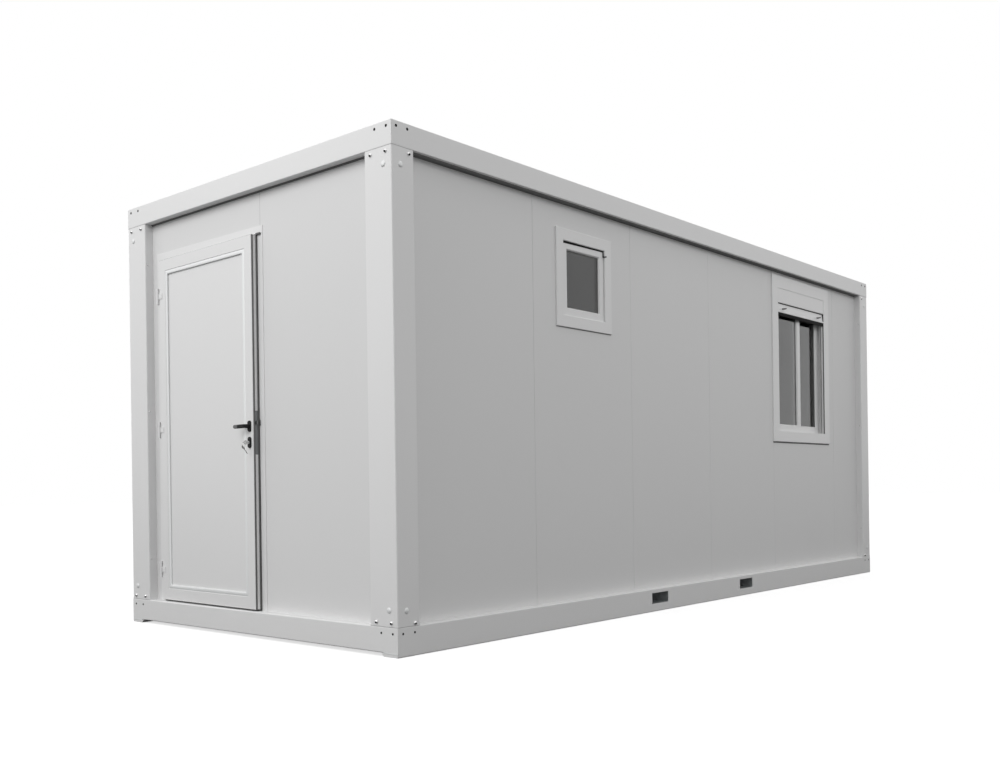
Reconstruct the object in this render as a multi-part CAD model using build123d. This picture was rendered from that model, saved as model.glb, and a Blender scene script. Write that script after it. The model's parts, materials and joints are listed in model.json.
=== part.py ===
from build123d import *
import math
import os

# Portable site cabin: a floor ring and a roof ring of folded steel, four bolted corner
# posts, sandwich panel walls, a door that stands ajar, a small window and a wide sliding
# window with a roller shutter. Millimetres, +Z up, origin on the ground under the middle.
# The door is in the end at -X and the windows are in the long side at -Y.
# "Depth" is measured inwards from the outer face of the side that a piece belongs to.

# Overall size
LENGTH = 6055.0
WIDTH = 2435.0
HEIGHT = 2650.0

# Folded rings
RING_SHEET = 4.0
FOLD_RADIUS = 7.0
BASE_RAIL = 150.0
BASE_SEAT = 140.0
BASE_SOLE = 80.0
END_RAIL_LIFT = 18.0
ROOF_RAIL = 125.0
ROOF_SEAT = 140.0
ROOF_LIP = 80.0
LEDGE_DROP = 40.0
LEDGE = 34.0

# Corner feet
FOOT_WIDTH = 100.0
FOOT_SPLAY = 20.0
FOOT_LENGTH = 120.0

# Corner posts
POST_END_LEG = 196.0
POST_SIDE_LEG = 155.0

# Forklift pockets
POCKET_WIDTH = 200.0
POCKET_HEIGHT = 70.0
POCKET_SPACING = 1210.0
POCKET_BOTTOM = 52.0
POCKET_WALL = 4.0

# Floor
DECK = 22.0
JOIST_FLANGE = 45.0
JOIST_SHEET = 2.5
JOIST_PITCH = 400.0
BELLY_HEIGHT = 22.0
BELLY_SHEET = 2.0

# Roof
RIB_PITCH = 207.0
RIB_HEIGHT = 30.0
RIB_CROWN = 40.0
RIB_FLANK = 22.0
ROOF_SHEET = 1.5
CEILING = 12.0
CEILING_SEAT = 20.0
BOW_FLANGE = 40.0
BOW_COUNT = 6

# Sandwich panel walls
PANEL = 60.0
SETBACK = 55.0
PANEL_FIRST = 1176.0
PANEL_LAST = 599.0
WINDOW_PANEL = 1165.0
EQUAL_PANELS = 3
JOINT_GAP = 0.8
JOINT_CHAMFER = 2.0
TONGUE = 14.0
TONGUE_DEPTH = 12.0
TONGUE_TAPER = 2.0
TONGUE_CLEARANCE = 0.4

# Door leaf, shut, and the angle at which it stands ajar
LEAF_WIDTH = 976.0
LEAF = 45.0
LEAF_DEPTH = 30.0
LEAF_TO_BACK = 303.0
LEAF_LIFT = 10.0
DOOR_HEAD = 247.0
AJAR = 1.1
LEAF_GAP = 7.0
LEAF_PROFILE = 68.0
BEAD = 18.0
BEAD_STEP = 3.0
INFILL = 24.0
SEAL_GROOVE = 7.0
SEAL_GROOVE_DEPTH = 4.0
SEAL_INSET = 3.0

# Door frame
DOOR_TRIM = 45.0
DOOR_TRIM_SHEET = 3.0
DOOR_LINING = 22.0
DOOR_STOP = 14.0
DOOR_SEAL = 3.0
THRESHOLD = 8.0

# Hinges
HINGE_FROM_BOTTOM = 186.0
HINGE_FROM_TOP = 223.0
HINGE_LENGTH = 100.0
HINGE_BARREL = 8.0
HINGE_PIN = 4.0
HINGE_FIT = 0.3
HINGE_AXIS_OFFSET = 9.5
HINGE_AXIS_DEPTH = 25.0
HINGE_PLATE = 3.0
HINGE_PLATE_WIDTH = 36.0

# Lock and handle
HANDLE_HEIGHT = 1197.0
HANDLE_INSET = 33.0
ROSE_WIDTH = 29.0
ROSE_HEIGHT = 65.0
ROSE = 8.0
ROSE_TAPER = 14.0
NECK_RADIUS = 9.0
NECK_LENGTH = 14.0
LEVER_REACH = 42.0
LEVER_LENGTH = 103.0
LEVER_HEIGHT = 22.0
LEVER = 14.0
LEVER_BEND = 13.0
LEVER_BEVEL = 4.0
SPINDLE = 8.0
SPINDLE_FIT = 3.0
CYLINDER_DROP = 92.0
CYLINDER_RADIUS = 8.5
CYLINDER_PROUD = 3.0
KEY_SHANK = 10.0
KEY_SHANK_HEIGHT = 8.0
KEY_BOW = 24.0
KEY_HOLE = 3.0
KEY_SHEET = 2.2
FACEPLATE_LENGTH = 248.0
FACEPLATE_WIDTH = 24.0
FACEPLATE = 3.0
FACEPLATE_DROP = 37.0
LATCH_RISE = 18.0
LATCH_WIDTH = 12.0
LATCH_TALL = 20.0
LATCH_THROW = 11.0
LATCH_BODY = 30.0
LATCH_SLOPE = 3.0
LATCH_FIT = 0.4
STRIKE_ROOM = 5.0

# Small window in the long side: its middle beside its panel's, its trim below the wall's top
SMALL_OFFSET = -8.0
SMALL_DROP = 151.0
SMALL_WIDTH = 574.0
SMALL_HEIGHT = 589.0
SMALL_TRIM = 72.0
SMALL_STILE = 50.0
SMALL_SASH = 46.0
SMALL_PANE = 24.0

# Wide window with the shutter: its trim laps over its panel's first joint
WIDE_LAP = 11.0
WIDE_DROP = 29.0
WIDE_WIDTH = 1074.0
WIDE_HEIGHT = 1333.0
WIDE_TRIM = 100.0
WIDE_SILL_TRIM = 85.0
SHUTTER_BOX = 117.0
SHUTTER_BOX_DEPTH = 130.0
COVER_STEP = 1.0
SLAT_HEIGHT = 77.0
SLAT = 9.0
SLAT_LEAN = 6.0
SLAT_LIP = 6.0
SLAT_LIP_HEIGHT = 10.0
GUIDE_STEP = 10.0
GUIDE_WIDTH = 24.0
GUIDE = 18.0
GUIDE_WALL = 4.0
TRACK_PLAY = 0.5
WIDE_STILE = 60.0
WIDE_SASH = 22.0
WIDE_BEAD = 8.0
WIDE_BEAD_DEPTH = 9.0
WIDE_PANE = 8.0
PANE_SEAT = 2.0
SASH_PLAY = 3.0
SASH_MEETING = 19.5
SASH_INTERLOCK = 89.0

# Window sections that both windows share
TRIM_PROUD = 10.0
TRIM_BEVEL = 3.0
FRAME_BODY = 38.0
FRAME_LIP = 11.0
SASH_REBATE = 14.0
SASH_OVERLAP = 8.0
SASH_SEAT = 0.3
SASH_BEVEL = 7.0
INNER_TRIM = 6.0
INNER_TRIM_WIDTH = 60.0

# Derived places
HALF_LENGTH = LENGTH / 2
HALF_WIDTH = WIDTH / 2
WALL_TOP = HEIGHT - ROOF_RAIL
PANEL_BACK = SETBACK + PANEL
POCKET_X = POCKET_SPACING / 2
PANEL_MODULE = (LENGTH - SETBACK - PANEL_LAST - WINDOW_PANEL - PANEL_FIRST) / EQUAL_PANELS
DOOR_Y_HINGE = HALF_WIDTH - LEAF_TO_BACK
DOOR_Y = DOOR_Y_HINGE - LEAF_WIDTH
LEAF_BOTTOM = BASE_RAIL + LEAF_LIFT
LEAF_TOP = WALL_TOP - DOOR_HEAD
DOOR_X = -HALF_LENGTH
FRAME_FACE = SETBACK - DOOR_TRIM_SHEET
FRAME_Y0 = DOOR_Y - LEAF_GAP
FRAME_Y1 = DOOR_Y_HINGE + LEAF_GAP
FRAME_TOP = LEAF_TOP + LEAF_GAP
STOP_DEPTH = LEAF_DEPTH + LEAF + DOOR_SEAL
HINGE_X = DOOR_X + HINGE_AXIS_DEPTH
HINGE_Y = DOOR_Y_HINGE + HINGE_AXIS_OFFSET
LEAF_X = DOOR_X + LEAF_DEPTH
LEAF_MIDDLE = LEAF_X + LEAF / 2
HANDLE_Y = DOOR_Y + HANDLE_INSET
LATCH_HEIGHT = HANDLE_HEIGHT + LATCH_RISE
SMALL_CENTRE = PANEL_FIRST + PANEL_MODULE / 2 + SMALL_OFFSET
SMALL_BOTTOM = WALL_TOP - SMALL_DROP - SMALL_HEIGHT
WIDE_CENTRE = PANEL_FIRST + EQUAL_PANELS * PANEL_MODULE - WIDE_LAP + WIDE_WIDTH / 2
WIDE_BOTTOM = WALL_TOP - WIDE_DROP - WIDE_HEIGHT
TRIM_FACE = SETBACK - TRIM_PROUD


def block(x0, x1, y0, y1, z0, z1):
    """Box between two opposite corners."""
    centre = Pos((x0 + x1) / 2, (y0 + y1) / 2, (z0 + z1) / 2)
    return centre * Box(x1 - x0, y1 - y0, z1 - z0)


def outline(points):
    """Flat face inside a closed polygon."""
    return make_face(Polyline(*points, close=True))


def folded(points, sheet=RING_SHEET, radius=FOLD_RADIUS):
    """Face of a folded sheet: its outer side runs through the points, its metal lies left."""
    return make_face(offset(FilletPolyline(*points, radius=radius), sheet, side=Side.LEFT))


def channel(bottom, top, flange):
    """Section of a sharp-edged channel of thin sheet, its web at the back of its flanges."""
    whole = Pos(0, (bottom + top) / 2) * Rectangle(flange, top - bottom)
    inside = Pos(JOIST_SHEET, (bottom + top) / 2) * Rectangle(flange, top - bottom - 2 * JOIST_SHEET)
    return whole - inside


def mirrored(shape, plane):
    """Copy of a shape on the other side of a plane."""
    return mirror(shape, about=plane)


def save(name, shape):
    """Write one piece, or several like pieces, as a STEP file named after its node."""
    solids = shape.solids()
    whole = solids[0] if len(solids) == 1 else Compound(children=list(solids))
    export_step(whole, f"parts/{name}.step")


def side_wedge(front, side, reach=ROOF_SEAT + FOOT_WIDTH):
    """Plan area of a rail on the -Y side, cut at 45 degrees where it meets the end rails."""
    area = outline([(-front, -side), (front, -side),
                    (front - reach, -side + reach), (-front + reach, -side + reach)])
    return extrude(area, HEIGHT)


def end_wedge(front, side, reach=ROOF_SEAT + FOOT_WIDTH):
    """Plan area of a rail on the -X end, cut at 45 degrees where it meets the side rails."""
    area = outline([(-front, side), (-front, -side),
                    (-front + reach, -side + reach), (-front + reach, side - reach)])
    return extrude(area, HEIGHT)


def side_rail(section):
    """Rail along the -Y side from a section given as depth and height."""
    start = Plane(origin=(-HALF_LENGTH, -HALF_WIDTH, 0), x_dir=(0, 1, 0), z_dir=(1, 0, 0))
    return extrude(start * section, LENGTH) & side_wedge(HALF_LENGTH, HALF_WIDTH)


def end_rail(section):
    """Rail along the -X end from a section given as depth and height."""
    start = Plane(origin=(-HALF_LENGTH, HALF_WIDTH, 0), x_dir=(1, 0, 0), z_dir=(0, -1, 0))
    return extrude(start * section, WIDTH) & end_wedge(HALF_LENGTH, HALF_WIDTH)


def base_section(bottom, sole):
    """Channel of the floor ring, open inwards, that the wall stands on."""
    return folded([(BASE_SEAT, BASE_RAIL), (0, BASE_RAIL), (0, bottom), (sole, bottom)])


def roof_section():
    """Channel of the roof ring with a lip and a ledge that carry the roof sheet."""
    ledge = HEIGHT - LEDGE_DROP
    return folded([(ROOF_LIP + LEDGE, ledge - RING_SHEET), (ROOF_LIP, ledge - RING_SHEET),
                   (ROOF_LIP, HEIGHT), (0, HEIGHT), (0, WALL_TOP), (ROOF_SEAT, WALL_TOP)],
                  radius=RING_SHEET + 1)


def pocket_holes():
    """The two spaces that the forks of a truck pass through, right across the cabin."""
    holes = []
    for x in (-POCKET_X, POCKET_X):
        holes.append(block(x - POCKET_WIDTH / 2, x + POCKET_WIDTH / 2, -WIDTH, WIDTH,
                           POCKET_BOTTOM, POCKET_BOTTOM + POCKET_HEIGHT))
    return holes


def make_base():
    """Floor ring, corner feet, fork tunnels, joists, belly sheet and floor deck."""
    front = side_rail(base_section(0, BASE_SOLE))
    for x in (-HALF_LENGTH, HALF_LENGTH - FOOT_LENGTH):
        front -= block(x, x + FOOT_LENGTH, -HALF_WIDTH + RING_SHEET, 0, -1, END_RAIL_LIFT)
    for hole in pocket_holes():
        front -= hole
    save("base_front_rail", front)
    save("base_back_rail", mirrored(front, Plane.XZ))
    end = end_rail(base_section(END_RAIL_LIFT, BASE_SOLE))
    save("base_door_end_rail", end)
    save("base_far_end_rail", mirrored(end, Plane.YZ))
    make_feet()
    make_tunnels()
    make_floor()


def make_feet():
    """Four blocks under the ends of the end rails, splayed towards the middle."""
    inner = -HALF_WIDTH + RING_SHEET
    section = outline([(inner, 0), (-HALF_WIDTH + FOOT_WIDTH, 0),
                       (-HALF_WIDTH + FOOT_WIDTH + FOOT_SPLAY, END_RAIL_LIFT),
                       (inner, END_RAIL_LIFT)])
    start = Plane(origin=(-HALF_LENGTH, 0, 0), x_dir=(0, 1, 0), z_dir=(1, 0, 0))
    foot = extrude(start * section, FOOT_LENGTH)
    pair = [foot, mirrored(foot, Plane.XZ)]
    feet = pair + [mirrored(one, Plane.YZ) for one in pair]
    save("corner_feet", Compound(children=feet))


def make_tunnels():
    """Fork tunnels welded between the two long rails."""
    reach = HALF_WIDTH - RING_SHEET
    tunnels = []
    for x, hole in zip((-POCKET_X, POCKET_X), pocket_holes()):
        half = POCKET_WIDTH / 2 + POCKET_WALL
        tube = block(x - half, x + half, -reach, reach,
                     POCKET_BOTTOM - POCKET_WALL, POCKET_BOTTOM + POCKET_HEIGHT + POCKET_WALL)
        tunnels.append(tube - hole)
    save("fork_tunnels", Compound(children=tunnels))


def spaced(start, end, pitch):
    """Evenly spaced places from start to end, no further apart than the pitch."""
    count = max(1, math.ceil((end - start) / pitch))
    return [start + (end - start) * i / count for i in range(count + 1)]


def joist_places():
    """Where the joists lie: in the bays beside and between the fork tunnels."""
    beside = POCKET_WIDTH / 2 + POCKET_WALL + JOIST_FLANGE / 2 + 10
    last = HALF_LENGTH - BASE_SEAT - JOIST_FLANGE
    middle = spaced(-POCKET_X + beside, POCKET_X - beside, JOIST_PITCH)
    outer = spaced(POCKET_X + beside, last, JOIST_PITCH)
    return sorted([-x for x in outer] + middle + outer)


def make_floor():
    """Joists across the width, the belly sheet under them and the deck on them."""
    bottom = BELLY_HEIGHT + BELLY_SHEET
    top = BASE_RAIL - DECK
    reach = HALF_WIDTH - RING_SHEET
    start = Plane(origin=(0, reach, 0), x_dir=(1, 0, 0), z_dir=(0, -1, 0))
    joist = extrude(start * channel(bottom, top, JOIST_FLANGE), 2 * reach)
    save("floor_joists", Compound(children=[Pos(x, 0, 0) * joist for x in joist_places()]))
    long = HALF_LENGTH - BASE_SEAT
    wide = HALF_WIDTH - BASE_SEAT
    save("floor_deck", block(-long, long, -wide, wide, top, BASE_RAIL))
    save("belly_sheet", block(-long, long, -wide, wide, BELLY_HEIGHT, bottom))


def make_posts():
    """Corner posts: folded angles with returns that close against the wall panels."""
    section = folded([(SETBACK, POST_END_LEG), (0, POST_END_LEG), (0, 0),
                      (POST_SIDE_LEG, 0), (POST_SIDE_LEG, SETBACK)])
    corner = Pos(-HALF_LENGTH, -HALF_WIDTH, BASE_RAIL)
    post = corner * extrude(section, WALL_TOP - BASE_RAIL)
    far = mirrored(post, Plane.YZ)
    save("post_front_door_end", post)
    save("post_front_far_end", far)
    save("post_back_door_end", mirrored(post, Plane.XZ))
    save("post_back_far_end", mirrored(far, Plane.XZ))


def rib_line(length):
    """Top line of the ribbed roof sheet: trapezoid ribs at an even pitch."""
    count = math.floor((length - RIB_CROWN - 2 * RIB_FLANK) / RIB_PITCH)
    start = -count * RIB_PITCH / 2
    points = [(-length / 2, 0)]
    for i in range(count + 1):
        middle = start + i * RIB_PITCH
        foot = RIB_CROWN / 2 + RIB_FLANK
        crown = RIB_CROWN / 2
        points += [(middle - foot, 0), (middle - crown, RIB_HEIGHT),
                   (middle + crown, RIB_HEIGHT), (middle + foot, 0)]
    points.append((length / 2, 0))
    return points


def make_roof():
    """Roof ring, ribbed sheet on its ledge, bows under the sheet and the ceiling."""
    front = side_rail(roof_section())
    save("roof_front_rail", front)
    save("roof_back_rail", mirrored(front, Plane.XZ))
    end = end_rail(roof_section())
    save("roof_door_end_rail", end)
    save("roof_far_end_rail", mirrored(end, Plane.YZ))
    inside = ROOF_LIP + RING_SHEET
    seat = HEIGHT - LEDGE_DROP
    top_line = rib_line(LENGTH - 2 * inside)
    under = [(x, z) for x, z in reversed(top_line)]
    ribs = outline([(x, z + ROOF_SHEET) for x, z in top_line] + under)
    reach = HALF_WIDTH - inside
    start = Plane(origin=(0, reach, seat), x_dir=(1, 0, 0), z_dir=(0, -1, 0))
    save("roof_sheet", extrude(start * ribs, 2 * reach))
    edge = ROOF_SEAT - CEILING_SEAT
    long = HALF_LENGTH - edge
    wide = HALF_WIDTH - edge
    low = WALL_TOP + RING_SHEET
    save("ceiling", block(-long, long, -wide, wide, low, low + CEILING))
    bow_end = HALF_WIDTH - ROOF_LIP - LEDGE
    start = Plane(origin=(0, bow_end, 0), x_dir=(1, 0, 0), z_dir=(0, -1, 0))
    bow = extrude(start * channel(low + CEILING, seat, BOW_FLANGE), 2 * bow_end)
    step = (LENGTH - 2 * ROOF_SEAT) / BOW_COUNT
    places = [step * (i - (BOW_COUNT - 1) / 2) for i in range(BOW_COUNT)]
    save("roof_bows", Compound(children=[Pos(x, 0, 0) * bow for x in places]))


def panel_plan(start, end, groove, tongue):
    """Plan outline of a wall panel: place along the wall, then depth.

    A joint edge is chamfered and has a groove or a tongue; a plain edge is square.
    """
    middle = SETBACK + PANEL / 2
    left = start + JOINT_GAP / 2 if groove else start
    right = end - JOINT_GAP / 2 if tongue else end
    left_cut = JOINT_CHAMFER if groove else 0
    right_cut = JOINT_CHAMFER if tongue else 0
    points = [(left + left_cut, SETBACK), (right - right_cut, SETBACK)]
    if tongue:
        half = TONGUE / 2
        tip = right + TONGUE_DEPTH
        points += [(right, SETBACK + right_cut), (right, middle - half),
                   (tip, middle - half + TONGUE_TAPER), (tip, middle + half - TONGUE_TAPER),
                   (right, middle + half), (right, PANEL_BACK - right_cut)]
    points += [(right - right_cut, PANEL_BACK), (left + left_cut, PANEL_BACK)]
    if groove:
        half = TONGUE / 2 + TONGUE_CLEARANCE
        root = left + TONGUE_DEPTH + TONGUE_CLEARANCE
        points += [(left, PANEL_BACK - left_cut), (left, middle + half),
                   (root, middle + half - TONGUE_TAPER), (root, middle - half + TONGUE_TAPER),
                   (left, middle - half), (left, SETBACK + left_cut)]
    return outline(points)


def side_panel(start, end, groove, tongue):
    """Panel of the -Y wall, its places measured along the wall from the door end."""
    area = panel_plan(start, end, groove, tongue)
    return Pos(-HALF_LENGTH, -HALF_WIDTH, BASE_RAIL) * extrude(area, WALL_TOP - BASE_RAIL)


def side_joints():
    """Edges of the panels of a long wall, measured from the door end."""
    joints = [SETBACK] + [PANEL_FIRST + i * PANEL_MODULE for i in range(EQUAL_PANELS + 1)]
    joints.append(joints[-1] + WINDOW_PANEL)
    joints.append(LENGTH - SETBACK)
    return joints


def window_hole(centre, bottom, width, height, trim, sill_trim):
    """Hole in the -Y wall that a window frame's body fits, face to face."""
    side = trim - FRAME_BODY
    middle = centre - HALF_LENGTH
    return block(middle - width / 2 + side, middle + width / 2 - side,
                 -HALF_WIDTH, -HALF_WIDTH + 2 * PANEL_BACK,
                 bottom + sill_trim - FRAME_BODY, bottom + height - side)


def make_long_walls():
    """The window wall in six panels, and the same plain panels in the wall behind."""
    joints = side_joints()
    last = len(joints) - 2
    panels = [side_panel(joints[i], joints[i + 1], i > 0, i < last) for i in range(last + 1)]
    small = window_hole(SMALL_CENTRE, SMALL_BOTTOM, SMALL_WIDTH, SMALL_HEIGHT,
                        SMALL_TRIM, SMALL_TRIM)
    wide = window_hole(WIDE_CENTRE, WIDE_BOTTOM, WIDE_WIDTH, WIDE_HEIGHT,
                       WIDE_TRIM, WIDE_SILL_TRIM)
    names = ["front_panel_corner", "front_panel_small_window", "front_panel_middle_left",
             "front_panel_middle_right", "front_panel_wide_window", "front_panel_far"]
    cuts = {1: small, 4: wide}
    for i, panel in enumerate(panels):
        save(names[i], panel - cuts[i] if i in cuts else panel)
    back = [mirrored(panel, Plane.XZ) for panel in panels]
    save("back_panels", Compound(children=back))


def end_panel(start, end, bottom, top, groove, tongue):
    """Panel of the -X wall, its places measured from the window side."""
    area = panel_plan(start, end, groove, tongue)
    turned = Plane(origin=(-HALF_LENGTH, -HALF_WIDTH, 0), x_dir=(0, 1, 0), z_dir=(0, 0, -1))
    return Pos(0, 0, top) * extrude(turned * area, top - bottom)


def make_end_walls():
    """Door end in three panels round the doorway, and the far end in two."""
    joint = FRAME_Y0 - DOOR_LINING + HALF_WIDTH
    hinge_joint = FRAME_Y1 + DOOR_LINING + HALF_WIDTH
    head = FRAME_TOP + DOOR_LINING
    end = WIDTH - PANEL_BACK
    save("door_end_panel", end_panel(PANEL_BACK, joint, BASE_RAIL, WALL_TOP, False, False))
    save("door_end_strip", end_panel(hinge_joint, end, BASE_RAIL, WALL_TOP, False, False))
    save("door_head_panel", end_panel(joint, hinge_joint, head, WALL_TOP, False, False))
    half = WIDTH / 2
    pair = [end_panel(PANEL_BACK, half, BASE_RAIL, WALL_TOP, False, True),
            end_panel(half, end, BASE_RAIL, WALL_TOP, True, False)]
    save("far_end_panels", Compound(children=[mirrored(one, Plane.YZ) for one in pair]))


def make_door_frame():
    """Door lining with its outside trim and stop, swept up, across and down."""
    face = FRAME_FACE
    back = PANEL_BACK + DOOR_TRIM_SHEET
    section = [(0, face), (DOOR_TRIM, face), (DOOR_TRIM, SETBACK), (DOOR_LINING, SETBACK),
               (DOOR_LINING, back), (-DOOR_STOP, back), (-DOOR_STOP, STOP_DEPTH), (0, STOP_DEPTH)]
    path = Polyline((DOOR_X, FRAME_Y0, BASE_RAIL), (DOOR_X, FRAME_Y0, FRAME_TOP),
                    (DOOR_X, FRAME_Y1, FRAME_TOP), (DOOR_X, FRAME_Y1, BASE_RAIL))
    start = Plane(origin=(DOOR_X, FRAME_Y0, BASE_RAIL), x_dir=(0, -1, 0), z_dir=(0, 0, 1))
    frame = sweep(start * outline(section), path=path, transition=Transition.RIGHT)
    frame -= strike_pocket()
    save("door_frame", frame)
    sill = block(DOOR_X + STOP_DEPTH, DOOR_X + back,
                 FRAME_Y0 + DOOR_STOP, FRAME_Y1 - DOOR_STOP, BASE_RAIL, BASE_RAIL + THRESHOLD)
    save("door_threshold", sill)


def strike_pocket():
    """Recess in the lock jamb that takes the latch when the door is shut."""
    across = LATCH_WIDTH / 2 + STRIKE_ROOM
    tall = LATCH_TALL / 2 + STRIKE_ROOM
    return block(LEAF_MIDDLE - across, LEAF_MIDDLE + across,
                 FRAME_Y0 - LATCH_THROW - STRIKE_ROOM, FRAME_Y0 + STRIKE_ROOM,
                 LATCH_HEIGHT - tall, LATCH_HEIGHT + tall)


def ajar(shape):
    """Turn a piece of the shut door about the hinge line to where it stands ajar."""
    line = Axis((HINGE_X, HINGE_Y, 0), (0, 0, -1))
    return shape.rotate(line, AJAR)


def leaf_ring(points):
    """Sweep a section, given as inset from the leaf's edge and depth, round the leaf."""
    y0 = DOOR_Y
    y1 = DOOR_Y_HINGE
    middle = (y0 + y1) / 2
    path = Polyline((DOOR_X, middle, LEAF_BOTTOM), (DOOR_X, y1, LEAF_BOTTOM),
                    (DOOR_X, y1, LEAF_TOP), (DOOR_X, y0, LEAF_TOP),
                    (DOOR_X, y0, LEAF_BOTTOM), (DOOR_X, middle, LEAF_BOTTOM))
    start = Plane(origin=(DOOR_X, middle, LEAF_BOTTOM), x_dir=(0, 0, 1), z_dir=(0, 1, 0))
    return sweep(start * outline(points), path=path, transition=Transition.RIGHT)


def seal_groove(start):
    """Outline points of a seal groove in the leaf's edge, from its deeper side outwards."""
    low = start + SEAL_GROOVE
    return [(0, low), (SEAL_GROOVE_DEPTH, low), (SEAL_GROOVE_DEPTH, start), (0, start)]


def make_leaf():
    """Door leaf: a mitred edge profile with a stepped bead and seal grooves, and an infill."""
    front = LEAF_DEPTH
    back = LEAF_DEPTH + LEAF
    fill_front = LEAF_DEPTH + (LEAF - INFILL) / 2
    fill_back = fill_front + INFILL
    step = front + BEAD_STEP
    edge = LEAF_PROFILE
    reach = edge + BEAD
    points = [(0, front), (edge, front), (edge + BEAD_STEP, step), (edge + 2 * BEAD_STEP, step),
              (reach, fill_front), (reach, fill_back), (edge, back), (0, back)]
    points += seal_groove(back - SEAL_INSET - SEAL_GROOVE)
    points += seal_groove(front + SEAL_INSET)
    profile = leaf_ring(points)
    infill = block(DOOR_X + fill_front, DOOR_X + fill_back, DOOR_Y + reach, DOOR_Y_HINGE - reach,
                   LEAF_BOTTOM + reach, LEAF_TOP - reach)
    profile -= lock_cuts()
    save("leaf_profile", ajar(profile))
    save("leaf_infill", ajar(infill))


def lock_cuts():
    """Holes in the leaf for the spindle, the lock cylinder, the latch and its faceplate."""
    turning = SPINDLE / 2 * math.sqrt(2) + SPINDLE_FIT
    spindle = across_leaf(turning, 2 * LEAF, HANDLE_HEIGHT)
    barrel = across_leaf(CYLINDER_RADIUS, 2 * LEAF, HANDLE_HEIGHT - CYLINDER_DROP)
    return spindle + barrel + faceplate_body() + latch_room()


def across_leaf(radius, length, height):
    """Round bar through the leaf on the handle's line, centred in the leaf's thickness."""
    return Pos(LEAF_MIDDLE, HANDLE_Y, height) * (Rot(0, 90, 0) * Cylinder(radius, length))


def faceplate_body():
    """Steel plate let into the lock edge of the leaf."""
    centre = HANDLE_HEIGHT - FACEPLATE_DROP
    return block(LEAF_MIDDLE - FACEPLATE_WIDTH / 2, LEAF_MIDDLE + FACEPLATE_WIDTH / 2,
                 DOOR_Y, DOOR_Y + FACEPLATE,
                 centre - FACEPLATE_LENGTH / 2, centre + FACEPLATE_LENGTH / 2)


def latch_block(grow, reach):
    """Block of the latch's section, grown all round, from its tip to a reach in the leaf."""
    across = LATCH_WIDTH / 2 + grow
    return block(LEAF_MIDDLE - across, LEAF_MIDDLE + across, DOOR_Y - LATCH_THROW, DOOR_Y + reach,
                 LATCH_HEIGHT - LATCH_TALL / 2 - grow, LATCH_HEIGHT + LATCH_TALL / 2 + grow)


def latch_room():
    """Space that the latch slides in, long enough for its throw."""
    return latch_block(LATCH_FIT, LATCH_BODY + LATCH_THROW + SPINDLE_FIT)


def make_lock():
    """Faceplate, latch, cylinder with its key, roses and the pair of lever handles."""
    save("lock_faceplate", ajar(faceplate_body() - latch_block(LATCH_FIT, LATCH_BODY)))
    latch = latch_block(0, LATCH_BODY)
    inner = LEAF_MIDDLE + LATCH_WIDTH / 2
    tip = DOOR_Y - LATCH_THROW
    slope = outline([(inner - LATCH_SLOPE, tip), (inner + LATCH_SLOPE, tip),
                     (inner + LATCH_SLOPE, DOOR_Y + LATCH_THROW)])
    latch -= Pos(0, 0, LATCH_HEIGHT - LATCH_TALL) * extrude(slope, 2 * LATCH_TALL)
    save("latch_bolt", ajar(latch))
    make_cylinder()
    make_roses()
    make_handles()


def make_cylinder():
    """Lock cylinder through the leaf, with a key in its outer end."""
    z = HANDLE_HEIGHT - CYLINDER_DROP
    proud = ROSE + CYLINDER_PROUD
    barrel = across_leaf(CYLINDER_RADIUS, LEAF + 2 * proud, z)
    face = LEAF_X - proud
    bow_x = face - KEY_SHANK - KEY_BOW / 2 + KEY_HOLE
    half = KEY_SHEET / 2
    shank = block(face - KEY_SHANK, face, HANDLE_Y - half, HANDLE_Y + half,
                  z - KEY_SHANK_HEIGHT / 2, z + KEY_SHANK_HEIGHT / 2)
    bow = Cylinder(KEY_BOW / 2, KEY_SHEET) - Pos(-KEY_HOLE, 0, 0) * Cylinder(KEY_HOLE, 2 * KEY_SHEET)
    bow = Pos(bow_x, HANDLE_Y, z) * (Rot(90, 0, 0) * bow)
    save("lock_cylinder", ajar(barrel + shank + bow))


def rose(z, hole):
    """Oval cover on the outside of the leaf, narrower towards its face, with a round hole."""
    body = extrude(SlotOverall(ROSE_HEIGHT, ROSE_WIDTH), ROSE, taper=ROSE_TAPER)
    body -= Cylinder(hole, 4 * ROSE)
    placed = Plane(origin=(LEAF_X, HANDLE_Y, z), x_dir=(0, 0, 1), z_dir=(-1, 0, 0))
    return placed * body


def both_faces(outer):
    """A piece outside the leaf and its mirror image inside."""
    centre = Plane(origin=(LEAF_MIDDLE, 0, 0), x_dir=(0, 1, 0), z_dir=(1, 0, 0))
    return [outer, mirrored(outer, centre)]


def make_roses():
    """Oval covers at the handle and at the cylinder, outside and inside."""
    roses = both_faces(rose(HANDLE_HEIGHT, NECK_RADIUS + HINGE_FIT))
    roses += both_faces(rose(HANDLE_HEIGHT - CYLINDER_DROP, CYLINDER_RADIUS))
    save("lock_roses", ajar(Compound(children=roses)))


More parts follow.
